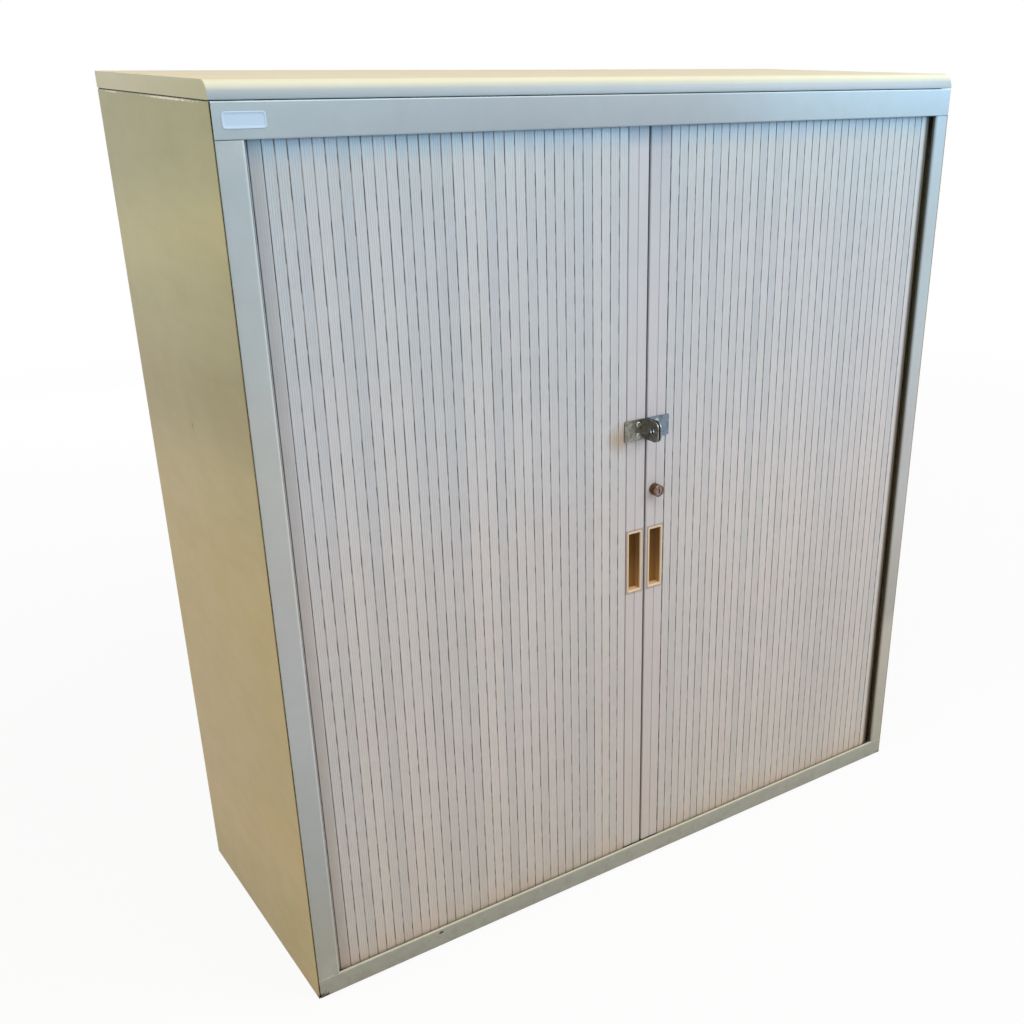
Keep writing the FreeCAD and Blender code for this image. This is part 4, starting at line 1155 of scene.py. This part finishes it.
stage = dict(reach=60.0, floor=(0.80, 0.79, 0.77, 1), glowSpan=(1.2, 4.5), glowNear=0.92, glowFar=1.0,
             sky=(0.92, 0.96, 1.0, 1), skyStrength=0.36, backdrop=(1, 1, 1, 1), backdropStrength=1.0)


def emptyTree(owner, outputKind):
    owner.use_nodes = True
    owner.node_tree.nodes.clear()
    return owner.node_tree, owner.node_tree.nodes.new(outputKind)


def buildFloor():
    # Pale and matt to the lamps; seen by the camera and by mirrors it glows white, so that no horizon shows
    s = stage
    corner = s["reach"]
    square = [(-corner, -corner, 0), (corner, -corner, 0), (corner, corner, 0), (-corner, corner, 0)]
    mesh = bpy.data.meshes.new("floorSheet")
    mesh.from_pydata(square, [], [(0, 1, 2, 3)])
    floor = putObject("floorSheet", mesh)
    material = bpy.data.materials.new("floorPale")
    tree, out = emptyTree(material, "ShaderNodeOutputMaterial")
    matte = node(tree, "ShaderNodeBsdfDiffuse", in_Color=s["floor"])
    glow = node(tree, "ShaderNodeEmission", in_Color=s["backdrop"], in_Strength=s["backdropStrength"])
    path = node(tree, "ShaderNodeLightPath").outputs
    seen = mathOf(tree, "MAXIMUM", path["Is Camera Ray"], path["Is Glossy Ray"])
    far = node(tree, "ShaderNodeVectorMath", {0: objectPlace(tree)[0]}, operation="LENGTH").outputs["Value"]
    glowing = rampOf(tree, far, *s["glowSpan"])
    glowing = mathOf(tree, "MULTIPLY_ADD", glowing, s["glowFar"] - s["glowNear"], s["glowNear"])
    share = product(tree, seen, glowing)
    mix = node(tree, "ShaderNodeMixShader", {0: share, 1: matte.outputs[0], 2: glow.outputs[0]})
    tree.links.new(mix.outputs[0], out.inputs["Surface"])
    mesh.materials.append(material)


def buildWorld():
    # A soft sky lights the model; the camera and mirrors see plain white instead
    s = stage
    world = bpy.data.worlds.new("studio")
    scene.world = world
    tree, out = emptyTree(world, "ShaderNodeOutputWorld")
    path = node(tree, "ShaderNodeLightPath").outputs
    soft = node(tree, "ShaderNodeBackground", in_Color=s["sky"], in_Strength=s["skyStrength"])
    plain = node(tree, "ShaderNodeBackground", in_Color=s["backdrop"], in_Strength=s["backdropStrength"])
    seen = mathOf(tree, "MAXIMUM", path["Is Camera Ray"], path["Is Transmission Ray"])
    seen = mathOf(tree, "MAXIMUM", seen, path["Is Glossy Ray"])
    mix = node(tree, "ShaderNodeMixShader", {0: seen, 1: soft.outputs[0], 2: plain.outputs[0]})
    tree.links.new(mix.outputs[0], out.inputs["Surface"])


lamps = {
    "windowLamp": dict(place=(1.9, -2.0, 2.3), aim=(0.5, 0, 0.9), size=(1.8, 1.8), power=40,
                       tint=(0.84, 0.93, 1.0)),
    "ceilingLamp": dict(place=(-0.3, -1.3, 3.5), aim=(0, 0, 0.6), size=(2.6, 1.8), power=48,
                        tint=(1.0, 0.95, 0.84)),
    "rearLamp": dict(place=(0.5, 3.6, 0.75), aim=(0, 0.24, 0.6), size=(1.8, 0.8), power=24,
                     tint=(0.96, 0.98, 1.0)),
    "wallLamp": dict(place=(-3.6, 0.2, 1.3), aim=(-0.5, 0, 0.6), size=(2.2, 2.4), power=36,
                     tint=(1.0, 0.95, 0.84)),
}


def buildLamps():
    for name, lamp in lamps.items():
        data = bpy.data.lights.new(name, "AREA")
        data.shape = "RECTANGLE"
        data.size, data.size_y = lamp["size"]
        data.energy = lamp["power"]
        data.color = lamp["tint"]
        item = putObject(name, data)
        item.location = lamp["place"]
        aim = Vector(lamp["aim"]) - Vector(lamp["place"])
        item.rotation_euler = aim.to_track_quat("-Z", "Y").to_euler()


view = dict(place=(-1.0513, -1.59805, 1.3042), yawDeg=36.282, pitchDeg=24.124, rollDeg=0.545, lens=42.247,
            shiftX=-0.11465, shiftY=0.07207, sensor=36.0)


def buildCamera():
    # Turned right by yaw, down by pitch, and rolled about the line of sight
    yaw, pitch, roll = (math.radians(view[k]) for k in ("yawDeg", "pitchDeg", "rollDeg"))
    ahead = Vector((math.sin(yaw) * math.cos(pitch), math.cos(yaw) * math.cos(pitch), -math.sin(pitch)))
    flatRight = Vector((math.cos(yaw), -math.sin(yaw), 0))
    flatUp = flatRight.cross(ahead)
    right = flatRight * math.cos(roll) + flatUp * math.sin(roll)
    up = -flatRight * math.sin(roll) + flatUp * math.cos(roll)
    data = bpy.data.cameras.new("photoCamera")
    data.lens = view["lens"]
    data.sensor_width = view["sensor"]
    data.shift_x, data.shift_y = view["shiftX"], view["shiftY"]
    camera = putObject("photoCamera", data)
    turn = Matrix((right, up, -ahead)).transposed()
    camera.matrix_world = Matrix.Translation(view["place"]) @ turn.to_4x4()
    scene.camera = camera


buildFloor()
buildWorld()
buildLamps()
buildCamera()
scene.view_settings.view_transform = "Standard"
print("stage set")
